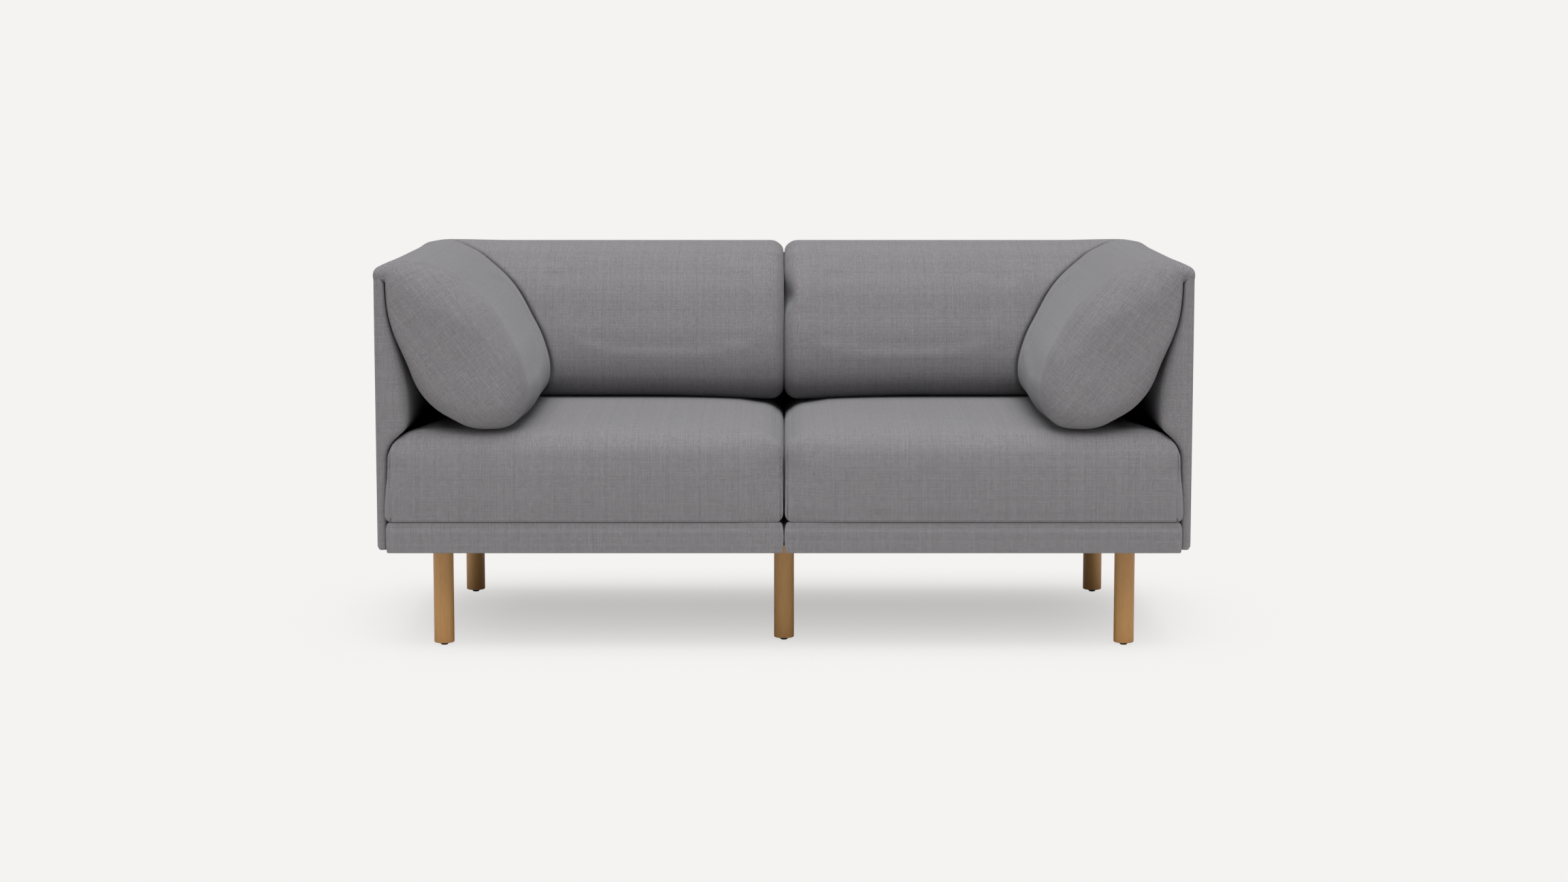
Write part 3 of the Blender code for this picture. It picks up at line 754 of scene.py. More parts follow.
lean = {
    "top": ((-.0002, .7532), (-.0006, .7600), (.0008, .7675), (.0055, .7738), (.013, .7780),
            (.026, .7812), (.045, .7843), (.060, .7858), (.081, .7842), (.101, .7797), (.116, .7745),
            (.134, .7680), (.152, .7585)),
    "inner": ((.277, .4585), (.291, .469), (.302, .484), (.307, .499), (.308, .528), (.303, .555),
              (.294, .583), (.282, .610), (.266, .637), (.250, .665), (.223, .702), (.188, .733),
              (.152, .7585)),
    "foot": ((.184, .4605), (.200, .4550), (.217, .4520), (.243, .4515), (.262, .4535), (.277, .4585)),
    "outer": ((.184, .4605), (.155, .476), (.125, .495), (.088, .535), (.067, .577), (.048, .618),
              (.033, .660), (.027, .690), (.0245, .715), (.0235, .740), (.0232, .7572)),
    "lip": ((.0232, .7570), (.016, .7562), (.008, .7545), (.0020, .7534), (-.0002, .7532)),
    "lipFrom": 0.86,            # share of the rows where the outer side turns under the hood
    "nearRim": (0, .0025, .009, .020, .035, .055, .080, .110, .145),
    "crown": 0.0065,
    "backCrown": 0.0028,        # the middle ends touch further in
    "crownReach": 0.090,
    "gap": 0.0015,
    "leanAngle": 37.0,          # degrees, threads on the end face
    "hemAt": 0.035,             # place of the hem's stitches on the top, and of the zip on the back
    "zipAt": 0.12,
    "hemWay": ((.015, .97), (-1.0, 0.0, 0.08)),     # from where to where, and up from the cloth there
    "zipWay": ((.12, .78), (-0.52, 0.0, -0.854)),
    # where the filling leaves the cover as it is: each pair is where that starts and stops to fade
    "heldFoot": (0.500, 0.600),
    "heldPanel": (0.10, 0.16),
    "heldTop": (0.71, 0.77),
    "heldMitre": (0.75, 0.95),
    "heldMiddle": (0.02, 0.14),
    "nearEnds": (0, .0015, .004, .008, .014, .024, .036),
    "endStep": 0.018,
    "mitreRound": (0.005, 0.011),   # by the hood and on the front
    "mitreReach": 0.060,            # how deep in the section the rounding at the mitre is felt
}
lean["sideEnd"] = {             # rounding round the free end, along each side of the section
    "top": ((0, .0085), (.08, .0105), (.22, .0240), (.42, .0500), (.65, .0780), (1, .0880)),
    "inner": ((0, .0500), (.4, .0740), (1, .0880)),
    "foot": ((0, .0400), (1, .0500)),
    "outer": ((0, .0400), (.35, .0300), (.60, .0170), (.80, .0100), (1, .0080)),
    "lip": ((0, .0060), (.35, .0014), (1, .0004)),
}
lean["backEnd"] = {
    "top": ((0, .0090), (.12, .0140), (.30, .0270), (1, .0300)),
    "inner": ((0, .0290), (.5, .0320), (1, .0330)),
    "foot": ((0, .0280), (1, .0260)),
    "outer": ((0, .0280), (.50, .0200), (1, .0060)),
    "lip": ((0, .0040), (.35, .0012), (1, .0004)),
}


def sectionRows(fine):
    if fine:
        near = np.array(lean["nearRim"])
        lip = lean["lipFrom"]
        byLip = lip + np.array((-.012, -.004, 0, .006, .02, .05, .08))
        rows = np.concatenate((near, np.linspace(.145, lip - .03, 31)[1:], byLip, 1 - near[5::-1]))
        columns = np.concatenate((near, np.linspace(.145, .855, 19)[1:-1], 1 - near[::-1]))
        return columns, rows
    return np.linspace(0, 1, 12), np.concatenate((np.linspace(0, lean["lipFrom"], 19), (.93, 1)))


def sectionGrid(columns, rows):
    # the section filled with a grid, and how far each of its sides runs
    top, topRun = smoothCurve(lean["top"], columns)
    foot, footRun = smoothCurve(lean["foot"], columns)
    inner, innerRun = smoothCurve(lean["inner"], rows)
    split = lean["lipFrom"]
    wall, wallRun = smoothCurve(lean["outer"], rows[rows <= split] / split)
    lip, lipRun = smoothCurve(lean["lip"], (rows[rows > split] - split) / (1 - split))
    outer = np.concatenate((wall, lip))
    u, v = columns[:, None, None], rows[None, :, None]
    grid = (1 - v) * foot[:, None] + v * top[:, None] + (1 - u) * outer[None] + u * inner[None]
    grid -= (1 - u) * (1 - v) * foot[0] + u * (1 - v) * foot[-1] + (1 - u) * v * top[0] + u * v * top[-1]
    # relaxed, so that no cell folds over by the notch under the hood
    du, dv = np.diff(columns), np.diff(rows)
    wu = np.stack((1 / du[:-1], 1 / du[1:]))[:, :, None, None] / (du[:-1] + du[1:])[:, None, None]
    wv = np.stack((1 / dv[:-1], 1 / dv[1:]))[:, None, :, None] / (dv[:-1] + dv[1:])[None, :, None]
    total = wu.sum(0) + wv.sum(0)
    for _ in range(900):
        acrossIt = wu[0] * grid[:-2, 1:-1] + wu[1] * grid[2:, 1:-1]
        grid[1:-1, 1:-1] = (acrossIt + wv[0] * grid[1:-1, :-2] + wv[1] * grid[1:-1, 2:]) / total
    runs = {"top": topRun, "inner": innerRun, "foot": footRun, "outer": wallRun, "lip": lipRun}
    return grid, runs


def rimOfEnd(rounding, count):
    # points all round the outline of the section, and the radius of the rounding at each
    shares = np.linspace(0, 1, count)
    rim = np.concatenate([smoothCurve(lean[side], shares)[0] for side in rounding])
    radius = np.concatenate([np.interp(shares, *zip(*rounding[side])) for side in rounding])
    return shares, rim, radius


def roundedEnd(grid, columns, rows, rounding, crown):
    # how far behind the end plane the rounded end is at each node of the section
    split = lean["lipFrom"]
    rim, radius = [[values] for values in rimOfEnd(rounding, 500)[1:]]
    for side, nodesThere, share in (
        ("top", grid[:, -1], columns), ("foot", grid[:, 0], columns), ("inner", grid[-1], rows),
        ("outer", grid[0][rows <= split], rows[rows <= split] / split),
        ("lip", grid[0][rows > split], (rows[rows > split] - split) / (1 - split)),
    ):
        rim.append(nodesThere)
        radius.append(np.interp(share, *zip(*rounding[side])))
    rim, radius = np.concatenate(rim), np.concatenate(radius)
    depth, inset = np.zeros((2, *grid.shape[:2]))
    for i, column in enumerate(grid):
        away = np.linalg.norm(column[:, None] - rim[None], axis=-1)
        depth[i] = roundedInset(away, radius).max(-1)
        inset[i] = away.min(-1)
    swollen = 1 - (1 - np.clip(inset / lean["crownReach"], 0, 1)) ** 2
    return depth - crown * swollen


def inwardField(grid):
    # the way in from the outline at each node of the section, shorter the further in the node is
    outline = np.concatenate((grid[0], grid[1:, -1], grid[-1, -2::-1], grid[-2:0:-1, 0]))
    centres = (outline + np.roll(outline, -1, axis=0)) / 2
    along = np.roll(outline, -1, axis=0) - outline
    inward = normalised(np.stack((along[:, 1], -along[:, 0]), -1))
    field = np.zeros_like(grid)
    for i, column in enumerate(grid):
        away = np.linalg.norm(column[:, None] - centres[None], axis=-1)
        near = 1 / (away + 0.002) ** 3
        way = normalised((near[..., None] * inward[None]).sum(1))
        field[i] = way * np.clip(1 - away.min(-1) / lean["mitreReach"], 0, 1)[:, None]
    return field


def leaningCushion(columns, rows, stations, startEnd, crown, start, length, bend):
    # nodes of the skin in section coordinates (in, along, up), before the cover swells
    grid, runs = sectionGrid(columns, rows)
    places, quads, sides = skinOfBlock([len(columns) - 1, len(rows) - 1, len(stations) - 1])
    startDepth = roundedEnd(grid, columns, rows, startEnd, crown)
    field = inwardField(grid)
    i, j, k = places.T
    across, up = grid[i, j].T
    first = start + startDepth[i, j]
    last = length - across - lean["gap"]
    along = first + (last - first) * stations[k]
    # rounded in towards the mitre
    byHood, onFront = lean["mitreRound"]
    radius = byHood + (onFront - byHood) * smoothStep(across, 0.05, 0.11)
    squeeze = roundedInset(last - along, radius)[:, None] * field[i, j]
    points = np.stack((across + squeeze[:, 0], along, up + squeeze[:, 1]), -1)
    points = bend(points, stations[k])
    return points, (places, quads, sides), runs


def runAlong(points, places, axis):
    # how far the cloth has run to each node, along one direction of the block
    counts = places.max(0) + 1
    block = np.full([*counts, 3], np.nan)
    block[tuple(places.T)] = points
    step = np.linalg.norm(np.diff(block, axis=axis), axis=-1)
    none = np.zeros_like(np.take(step, [0], axis))
    run = np.concatenate((none, np.cumsum(np.nan_to_num(step), axis)), axis)
    return run[tuple(places.T)]


def endCloth(grid, runs, rounding):
    # cloth on a rounded end: how far it is past the rim, where that is round the section,
    # and how far a node moves outwards when the rounding is laid flat
    shares, rim, radius = rimOfEnd(rounding, 400)
    top, base = runs["top"], runs["top"] + runs["inner"] + runs["foot"]
    girth = np.concatenate((
        top * shares, top + runs["inner"] * (1 - shares), base - runs["foot"] * shares,
        base + runs["outer"] * shares, base + runs["outer"] + runs["lip"] * shares,
    ))
    past, around = np.zeros((2, *grid.shape[:2]))
    opened = np.zeros(grid.shape)
    for i, column in enumerate(grid):
        outwards = rim[None] - column[:, None]
        away = np.linalg.norm(outwards, axis=-1)
        nearest = away.argmin(-1)
        flat, soft = away.min(-1), radius[nearest]
        turned = np.arccos(np.clip(1 - flat / soft, 0, 1))
        past[i] = soft * turned + np.maximum(flat - soft, 0)
        around[i] = girth[nearest]
        way = normalised(((1 / (away + 0.004) ** 3)[..., None] * outwards).sum(1))
        opened[i] = way * (soft * (math.pi / 2 - turned) - np.maximum(soft - flat, 0))[:, None]
    return past, around, opened


def leaningUv(points, skin, columns, rows, runs, onEnd, straightEnd):
    # cloth runs round the section on the body, and slants with the lean on the ends
    places, quads, sides = skin
    i, j = [places[quads][..., axis] for axis in (0, 1)]
    along = runAlong(points, places, 2)[quads]
    across, up = points[quads][..., 0], points[quads][..., 2]
    split = lean["lipFrom"]
    u, v = columns[i], rows[j]
    base = runs["top"] + runs["inner"] + runs["foot"]
    wallAt, lipAt = runs["outer"] * v / split, runs["outer"] + runs["lip"] * (v - split) / (1 - split)
    topAt, footAt = runs["top"] * u, runs["top"] + runs["inner"] + runs["foot"] * (1 - u)
    innerAt, outerAt = runs["top"] + runs["inner"] * (1 - v), base + np.where(v <= split, wallAt, lipAt)
    axis, end = sides[:, 0][:, None], sides[:, 1][:, None]
    girth = np.where(axis == 0, np.where(end == 1, innerAt, outerAt), np.where(end == 1, topAt, footAt))
    past, around, opened = [field[i, j] for field in onEnd]
    if straightEnd:
        capU, capV = -past, around
    else:
        turn = math.radians(lean["leanAngle"])
        across, up = across + opened[..., 0], up + opened[..., 1]
        capU = across * math.cos(turn) + up * math.sin(turn)
        capV = up * math.cos(turn) - across * math.sin(turn)
    return np.stack((np.where(axis == 2, capU, along), np.where(axis == 2, capV, girth)), -1)


def makeLeaning(name, startEnd, crown, start, length, toWorld, bend):
    isBack = toWorld is backToWorld
    coarseKnots = [*sectionRows(False), np.linspace(0, 1, round(length / swelling["step"]))]
    fineKnots = [*sectionRows(True), edgeStations(1.0, lean["nearEnds"], lean["endStep"])]
    coarsePoints, coarseSkin, _ = leaningCushion(*coarseKnots, startEnd, crown, start, length, bend)
    across, up = coarsePoints[:, 0], coarsePoints[:, 2]
    share = coarseKnots[2][coarseSkin[0][:, 2]]
    held = [1 - smoothStep(across, *lean["heldPanel"]) * (1 - smoothStep(up, *lean["heldTop"])),
            1 - smoothStep(up, *lean["heldFoot"]), smoothStep(share, *lean["heldMitre"])]
    if isBack:
        held.append(1 - smoothStep(share, *lean["heldMiddle"]))
    shift = swell(coarsePoints, coarseSkin[1], np.max(held, axis=0), swelling["cap"])
    points, skin, runs = leaningCushion(*fineKnots, startEnd, crown, start, length, bend)
    points = points + onFinerGrid(shift, (coarseSkin[0], coarseKnots), (skin[0], fineKnots))
    onEnd = endCloth(sectionGrid(*fineKnots[:2])[0], runs, startEnd)
    uv = leaningUv(points, skin, *fineKnots[:2], runs, onEnd, isBack)
    print(name, "swelled by", round(float(np.abs(shift).max() * 1000), 1), "mm")
    # paths for the stitches above the hem and for the zip low on the back
    i, j, k = skin[0].T
    share = fineKnots[2][k]
    onHem = (i == np.abs(fineKnots[0] - lean["hemAt"]).argmin()) & (j == j.max())
    onZip = (i == 0) & (j == np.abs(fineKnots[1] - lean["zipAt"]).argmin())
    world, zero = toWorld(points), toWorld(np.zeros((1, 3)))
    paths = []
    for chosen, ((first, last), up) in ((onHem, lean["hemWay"]), (onZip, lean["zipWay"])):
        chosen = chosen & (share > first) & (share < last)
        order = np.argsort(k[chosen])
        paths.append((world[chosen][order], np.repeat(toWorld(np.array([up])) - zero, chosen.sum(), 0)))
    return world, skin[1], uv, paths


sofa = {
    "halfWidth": cadHigh.x,
    "rear": cadHigh.y,
    "sideStart": -0.4233,       # end plane of the side cushions
    "backStart": 0.0021,        # end plane of the back cushions, from the middle
    "footFades": (0.45, 0.62),  # heights between which what happens at the foot fades out
    "footLift": 0.006,          # towards the corner
    "footTuck": 0.012,          # the free ends of the side cushions stand nearer to the panel at the foot
    "footSink": 0.0022,
    "footDrop": 0.0012,         # how far the back cushions hang down by the middle
    "hoodSag": 0.0050,          # the hood of a side cushion is lower between its ends
    "hoodMiddle": (0.024, 0.018),
    "hoodHeights": (0.757, 0.770),
    "cornerRise": 0.0022,       # the covers push each other up in the corner
    "cornerMiddle": (0.072, 0.045),
    "foldHeight": 0.677,        # a crease at the middle end of the right back cushion
    "foldSpread": (0.0416, 0.0240),             # above and below
    "foldRecess": (0.0120, 0.0049, -0.0049),
    "slitOpen": 0.0060,         # below the crease the end stands further off from its neighbour
}


def cornerBend(points, share):
    lift = sofa["cornerRise"] * bump(points[:, 0], *sofa["cornerMiddle"]) * smoothStep(share, 0.80, 0.98)
    points[:, 2] += lift * smoothStep(points[:, 2], 0.70, 0.76)
    return points


def sideBend(points, share):
    # the foot rises a little towards the corner, where it meets the back cushion
    low = 1 - smoothStep(points[:, 2], *sofa["footFades"])
    points = points.copy()
    points[:, 2] += sofa["footLift"] * low * smoothStep(share, 0.15, 0.75)
    atFront = low * (1 - smoothStep(share, 0.0, 0.35))
    points[:, 0] -= sofa["footTuck"] * atFront
    points[:, 2] -= sofa["footSink"] * atFront
    sag = sofa["hoodSag"] * smoothStep(share, 0.08, 0.45) * (1 - smoothStep(share, 0.82, 1.0))
    sag = sag * bump(points[:, 0], *sofa["hoodMiddle"])
    points[:, 2] -= sag * smoothStep(points[:, 2], *sofa["hoodHeights"])
    return cornerBend(points, share)


def backBend(points, share):
    low = 1 - smoothStep(points[:, 2], *sofa["footFades"])
    points = points.copy()
    lift = (sofa["footLift"] + sofa["footDrop"]) * smoothStep(points[:, 1], 0.030, 0.300)
    lift -= sofa["footDrop"]
    points[:, 2] += lift * low
    return cornerBend(points, share)


def creased(points):
    # the end draws back and the front sinks in above the crease
    end = 1 - smoothStep(points[:, 0], 0.000, 0.034)
    front = smoothStep(-points[:, 1], -0.30, -0.20)
    up, fold = points[:, 2], sofa["foldHeight"]
    level = bump(up, fold, np.where(up > fold, *sofa["foldSpread"])) * end * front
    slit = bump(up, fold - 0.010, 0.030) * (1 - smoothStep(points[:, 0], 0.0, 0.014)) * front
    opened = (sofa["slitOpen"] * slit)[:, None] * np.array((1.0, 0.0, 0.0))
    return points + opened + level[:, None] * np.array(sofa["foldRecess"])


def sideToWorld(points):
    across, along, up = points.T
    return np.stack((across - sofa["halfWidth"], along, up), -1)


def backToWorld(points):
    across, along, up = points.T
    return np.stack((-along, sofa["rear"] - across, up), -1)


sideCushion = makeLeaning(
    "side cushion", lean["sideEnd"], lean["crown"], sofa["sideStart"], sofa["rear"], sideToWorld, sideBend,
)
backCushion = makeLeaning(
    "back cushion", lean["backEnd"], lean["backCrown"], sofa["backStart"], sofa["halfWidth"], backToWorld,
    backBend,
)
for side in ("left", "right"):
    for kind, (points, quads, uv, paths) in (("side_cushion", sideCushion), ("back_cushion", backCushion)):
        owner = f"{side}_{kind}"
        placed = onSide(side, points)
        if owner == "right_back_cushion":
            placed = creased(placed)
        makeCover(side, kind, placed, quads, uv, owner + "_body")
        hem, zipLine = [(onSide(side, line), onSide(side, ups)) for line, ups in paths]
        stitches = makeRow(owner + "_hem_stitches", pathTree, [hem], stitchItem, thread,
                           small["stitchSpacing"], small["stitchUnevenness"], seed=clothLength(side, kind))
        fit(stitches, owner + "_body")
        makeZip(owner, *zipLine)
print("leaning cushions ready")


# Seat cushions

seat = {
    "sideRound": 0.040,         # how far each upper edge is rounded inwards
    "gapRound": 0.056,
    "frontRound": 0.054,
    "topRound": 0.045,          # and downwards
    "gapTopRound": 0.050,
    "gapPower": 2.7,            # fuller than a circle there
    "bottomRound": 0.0060,
    "gapBottomRound": 0.015,
    "softFrom": (0.020, 0.110),     # heights between which the tight edge turns into the soft one
    "cornerPower": 6,
    "crown": 0.0115,
    "crownPower": 4,
    "frontBulge": 0.0012,
    "gapBulge": 0.0020,         # the two cushions touch between their ends
    "lip": 0.0058,              # bulge in front of the side panel
    "lipFrom": (0.4195, 0.4300),
    "sag": 0.028,               # where the side cushion bears on it
    "sagBehind": 0.051,         # from the front, and fading out towards the back
    "sagFades": (0.42, 0.66),
    "sagLine": -0.757,          # in X, turned inwards towards the back
    "sagTurn": (0.926, 0.376),
    "sagWidth": 0.085,
    "seamInset": 0.0056,
    "seamDepth": 0.0034,
    "seamWidth": 0.0013,
    "near": (0, .0012, .0026, .0036, .0046, .0056, .0066, .0076, .0090, .0120, .0165, .0225, .030, .040,
             .052, .066),
    "step": 0.026,
    "uprightStep": 0.014,
    "zipHeight": 0.42,          # share of the height
    "zipInset": 0.07,
}


def seatPoints(stations, low, high):
    half = (high - low) / 2
    centre = (high + low) / 2
    places, quads, sides = skinOfBlock([len(k) - 1 for k in stations])
    block = np.stack([stations[axis][places[:, axis]] for axis in range(3)], -1) - half
    # upper edges are full and soft, lower ones tight
    soft = smoothStep(block[:, 2] + half[2], *seat["softFrom"])
    nearGap = smoothStep(block[:, 0], half[0] - 0.11, half[0] - 0.03)
    bottom, top = [seat[plain] + (seat[byGap] - seat[plain]) * nearGap
                   for plain, byGap in (("bottomRound", "gapBottomRound"), ("topRound", "gapTopRound"))]
    radius = np.stack((
        soft * np.where(block[:, 0] > 0, seat["gapRound"], seat["sideRound"]) + (1 - soft) * bottom,
        soft * seat["frontRound"] + (1 - soft) * seat["bottomRound"],
        soft * top + (1 - soft) * (1 + 0.3 * nearGap) * bottom,
    ), -1)
    core = np.sign(block) * np.minimum(np.abs(block), half - radius)
    beyond = np.abs(block - core) / radius
    level = (beyond[:, :2] ** seat["cornerPower"]).sum(1) ** (1 / seat["cornerPower"])
    power = 2 + (seat["gapPower"] - 2) * soft * nearGap
    reach = (level**power + beyond[:, 2] ** power) ** (1 / power)
    scale = np.where(reach > 0, beyond.max(1) / np.maximum(reach, 1e-9), 1)
    points = core + (block - core) * scale[:, None]
    unit = np.clip(np.abs(block / half), 0, 1)
    crown = (1 - unit[:, 0] ** seat["crownPower"]) * (1 - unit[:, 1] ** seat["crownPower"])
    points[:, 2] += seat["crown"] * crown * smoothStep(block[:, 2] / half[2], 0.0, 1.0)
    for axis, way, amount, wide, power, upright in ((1, -1, seat["frontBulge"], 0, 2, 1),
                                                    (0, 1, seat["gapBulge"], 1, 6, 1.5)):
        bulge = (1 - unit[:, wide] ** power) * (1 - unit[:, 2] ** 2) ** upright
        points[:, axis] += way * amount * bulge * smoothStep(way * block[:, axis] / half[axis], 0.9, 1.0)
    return points + centre, (places, quads, sides)


def makeSeat():
    low, high = [np.array(corner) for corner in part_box("left_seat_cushion")]
    high[2] -= seat["crown"]
    size = high - low
    fine = [edgeStations(size[axis], seat["near"], seat["step"]) for axis in (0, 1)]
    fine.append(edgeStations(size[2], seat["near"][:-1], seat["uprightStep"]))
    coarse = [np.linspace(0, size[axis], round(size[axis] / swelling["step"])) for axis in range(3)]
    rough, roughSkin = seatPoints(coarse, low, high)
    # the cover stays where it lies on the frame and where cushions touch
    fromSide = np.minimum(rough[:, 0] - low[0], high[0] - rough[:, 0])
    free = np.minimum(smoothStep(rough[:, 2], low[2] + 0.002, low[2] + 0.03), smoothStep(fromSide, 0.001, 0.02))
    shift = swell(rough, roughSkin[1], 1 - free, swelling["seatCap"])
    points, skin = seatPoints(fine, low, high)
    points += onFinerGrid(shift, (roughSkin[0], coarse), (skin[0], fine))
    points[:, 2] = np.maximum(points[:, 2], low[2])
    print("seat cushion swelled by", round(float(np.abs(shift).max() * 1000), 1), "mm")
    # the lip that stands out in front of the side panel
    ahead = smoothStep(-points[:, 1], *seat["lipFrom"]) * smoothStep(points[:, 2], low[2], low[2] + 0.012)
    outer = smoothStep(-points[:, 0], -high[0] + size[0] * 0.9, -low[0])
    points[:, 0] -= seat["lip"] * ahead * outer
    # pressed down under the side cushion, further in towards the back
    behind = points[:, 1] - low[1] - seat["sagBehind"]
    side = (seat["sagLine"] - points[:, 0]) * seat["sagTurn"][0] + behind * seat["sagTurn"][1]
    pressed = smoothStep(side, 0.0, seat["sagWidth"]) * (1 - smoothStep(behind, *seat["sagFades"]))
    points[:, 2] -= seat["sag"] * pressed * smoothStep(points[:, 2], low[2] + 0.09, high[2])
    # seams where the side walls are sewn on
    for edge, turn in ((low[0], 1), (high[0], -1)):
        inwards = (points[:, 0] - edge) * turn
        groove = seat["seamDepth"] * bump(inwards, seat["seamInset"], seat["seamWidth"])
        points[:, 1] += groove * smoothStep(-points[:, 1], 0.400, 0.425)
    # cloth runs up the front and over the top; the side walls have their own
    places, quads, sides = skin
    x, y, z = np.moveaxis(points[quads], -1, 0)
    axis, end = sides[:, 0][:, None], sides[:, 1][:, None]
    rise, depth = runAlong(points, places, 2), runAlong(points, places, 1)
    i, j, k = places.T
    frontTop, rearTop = [(j == row) & (k == k.max()) for row in (0, j.max())]
    upFront, overTop, downBack = np.zeros((3, i.max() + 1))
    upFront[i[frontTop]] = rise[frontTop]
    overTop[i[rearTop]] = depth[rearTop]
    downBack[i[rearTop]] = rise[rearTop]
    column = i[quads]
    onTop = upFront[column] + depth[quads]
    onBack = upFront[column] + overTop[column] + downBack[column] - rise[quads]
    frontOrBack = np.where(end == 0, rise[quads], onBack)
    girth = np.where(axis == 1, frontOrBack, np.where(end == 1, onTop, y - low[1]))
    uv = np.stack((np.where(axis == 0, y, x), np.where(axis == 0, z, girth)), -1)
    # path for the zip along the rear wall
    onZip = (j == j.max()) & (k == np.abs(fine[2] - size[2] * seat["zipHeight"]).argmin())
    onZip &= (points[:, 0] > low[0] + seat["zipInset"]) & (points[:, 0] < high[0] - seat["zipInset"])
    zipLine = points[onZip][np.argsort(i[onZip])]
    return points, quads, uv, (zipLine, np.tile((0.0, 1.0, 0.0), (len(zipLine), 1)))


points, quads, uv, zipLine = makeSeat()
for side in ("left", "right"):
    owner = side + "_seat_cushion"
    makeCover(side, "seat_cushion", onSide(side, points), quads, uv, owner + "_body")
    makeZip(owner, *[onSide(side, values) for values in zipLine])
print("seat cushions ready")


# Side and back panels

panel = {
    "faceCrown": 0.0012,
    "outerCorner": 0.0085,      # upright edges
    "innerCorner": 0.0100,
    "outerTop": 0.0012,         # under the hood
    "innerTop": 0.0080,
    "outerBottom": 0.0090,
    "innerBottom": 0.0030,
    "endBottom": 0.0040,
    "middleBulge": 0.0022,      # the two back panels touch in the middle
    "near": (0, .0006, .0014, .0026, .0042, .0060, .0078, .0100, .0130, .0170, .0220, .0300, .0400, .0550),
    "middleStep": 0.03,
    "thinStep": 0.003,
    "nose": (0.018, 0.034),     # depth in which a side panel's padding gets thick, low down and higher up
    "noseRises": (0.44, 0.52),
    # extra thickness of a side panel's padding on the inside, by height
    "padding": ((.396, 0), (.408, .0025), (.418, .0065), (.427, .0120), (.434, .0180), (.440, .0245),
                (.446, .0310), (.453, .0358), (.466, .0388), (.480, .0398), (.500, .0400), (.524, .0392),
                (.550, .0360), (.576, .0310), (.602, .0250), (.628, .0180), (.654, .0100), (.680, .0040),
                (.705, .0010), (.725, 0)),
    "paddingRows": ((.396, .484, 24), (.50, .72, 14)),
}


def uprightBoard(low, high, thinAxis, corners, heights=()):
    # a padded board standing up; corners are the radii at (low x, low y), (high x, low y), (low x, high y)
    # and (high x, high y)
    size = high - low
    stations = []
    for axis in range(3):
        isThin = axis == thinAxis
        near = [n for n in panel["near"] if not isThin or n < size[axis] * 0.4]
        stations.append(edgeStations(size[axis], near, panel["thinStep" if isThin else "middleStep"]))
    if len(heights):
        wanted = np.array(heights) - low[2]
        clear = [h for h in stations[2] if np.abs(wanted - h).min() > 0.004]
        stations[2] = np.sort(np.concatenate((clear, wanted)))
    places, quads, sides = skinOfBlock([len(k) - 1 for k in stations])
    share = np.stack([stations[axis][places[:, axis]] / size[axis] for axis in range(3)], -1)
    rise = share[:, 2] * size[2]
    fall = size[2] - rise
    points = low + share * size
    for axis in (0, 1):
        # the cloth is tight round the outside and softer on the side that the cushion rests on
        isThin = axis == thinAxis
        outer = roundedInset(rise, panel["outerBottom" if isThin else "endBottom"])
        outer += roundedInset(fall, panel["outerTop"])
        inner = roundedInset(rise, panel["innerBottom"]) + roundedInset(fall, panel["innerTop"])
        first, last = (outer, inner) if axis == 0 else (inner, outer)
        if not isThin:
            first = last = outer
        points[:, axis] = low[axis] + first + share[:, axis] * (size[axis] - first - last)
    centre = (low + high) / 2
    radius = np.array(corners)[(share[:, 0] > 0.5) + 2 * (share[:, 1] > 0.5)]
    flat = points[:, :2] - centre[:2]
    edge = ((high - low) / 2)[:2]
    core = np.sign(flat) * np.minimum(np.abs(flat), edge - radius[:, None])
    beyond = flat - core
    reach = np.linalg.norm(beyond, axis=1)
    flat = core + beyond * np.where(reach > 0, np.abs(beyond).max(1) / np.maximum(reach, 1e-9), 1)[:, None]
    points[:, :2] = flat + centre[:2]
    wide = [axis for axis in range(3) if axis != thinAxis]
    swollen = np.prod([1 - np.abs(2 * share[:, axis] - 1) ** 8 for axis in wide], axis=0)
    points[:, thinAxis] += panel["faceCrown"] * swollen * (2 * share[:, thinAxis] - 1)
    if len(heights):
        at, thick = np.array(panel["padding"]).T
        forward = points[:, 1] - low[1]
        back = high[1] - points[:, 1]
        lower, upper = panel["nose"]
        nose = lower + (upper - lower) * smoothStep(points[:, 2], *panel["noseRises"])
        full = np.sqrt(1 - np.clip(1 - forward / nose, 0, 1) ** 2) * smoothStep(back, 0.0, 0.02)
        spline = naturalSpline(at, np.clip(points[:, 2], at[0], at[-1]))
        points[:, 0] += share[:, 0] * full * np.maximum(spline @ thick, 0)
    x, y, z = np.moveaxis(points[quads], -1, 0)
    axis, end = sides[:, 0][:, None], sides[:, 1][:, None]
    # round the front of a side panel the cloth runs on from the edge to the inside
    inside = high[0] + runAlong(points, places, 1)[quads] if len(heights) else y
    u = np.where(axis == 0, np.where(end == 1, inside, y), x)
    uv = np.stack((u, np.where(axis == 2, y, z)), -1)
    return points, quads, uv


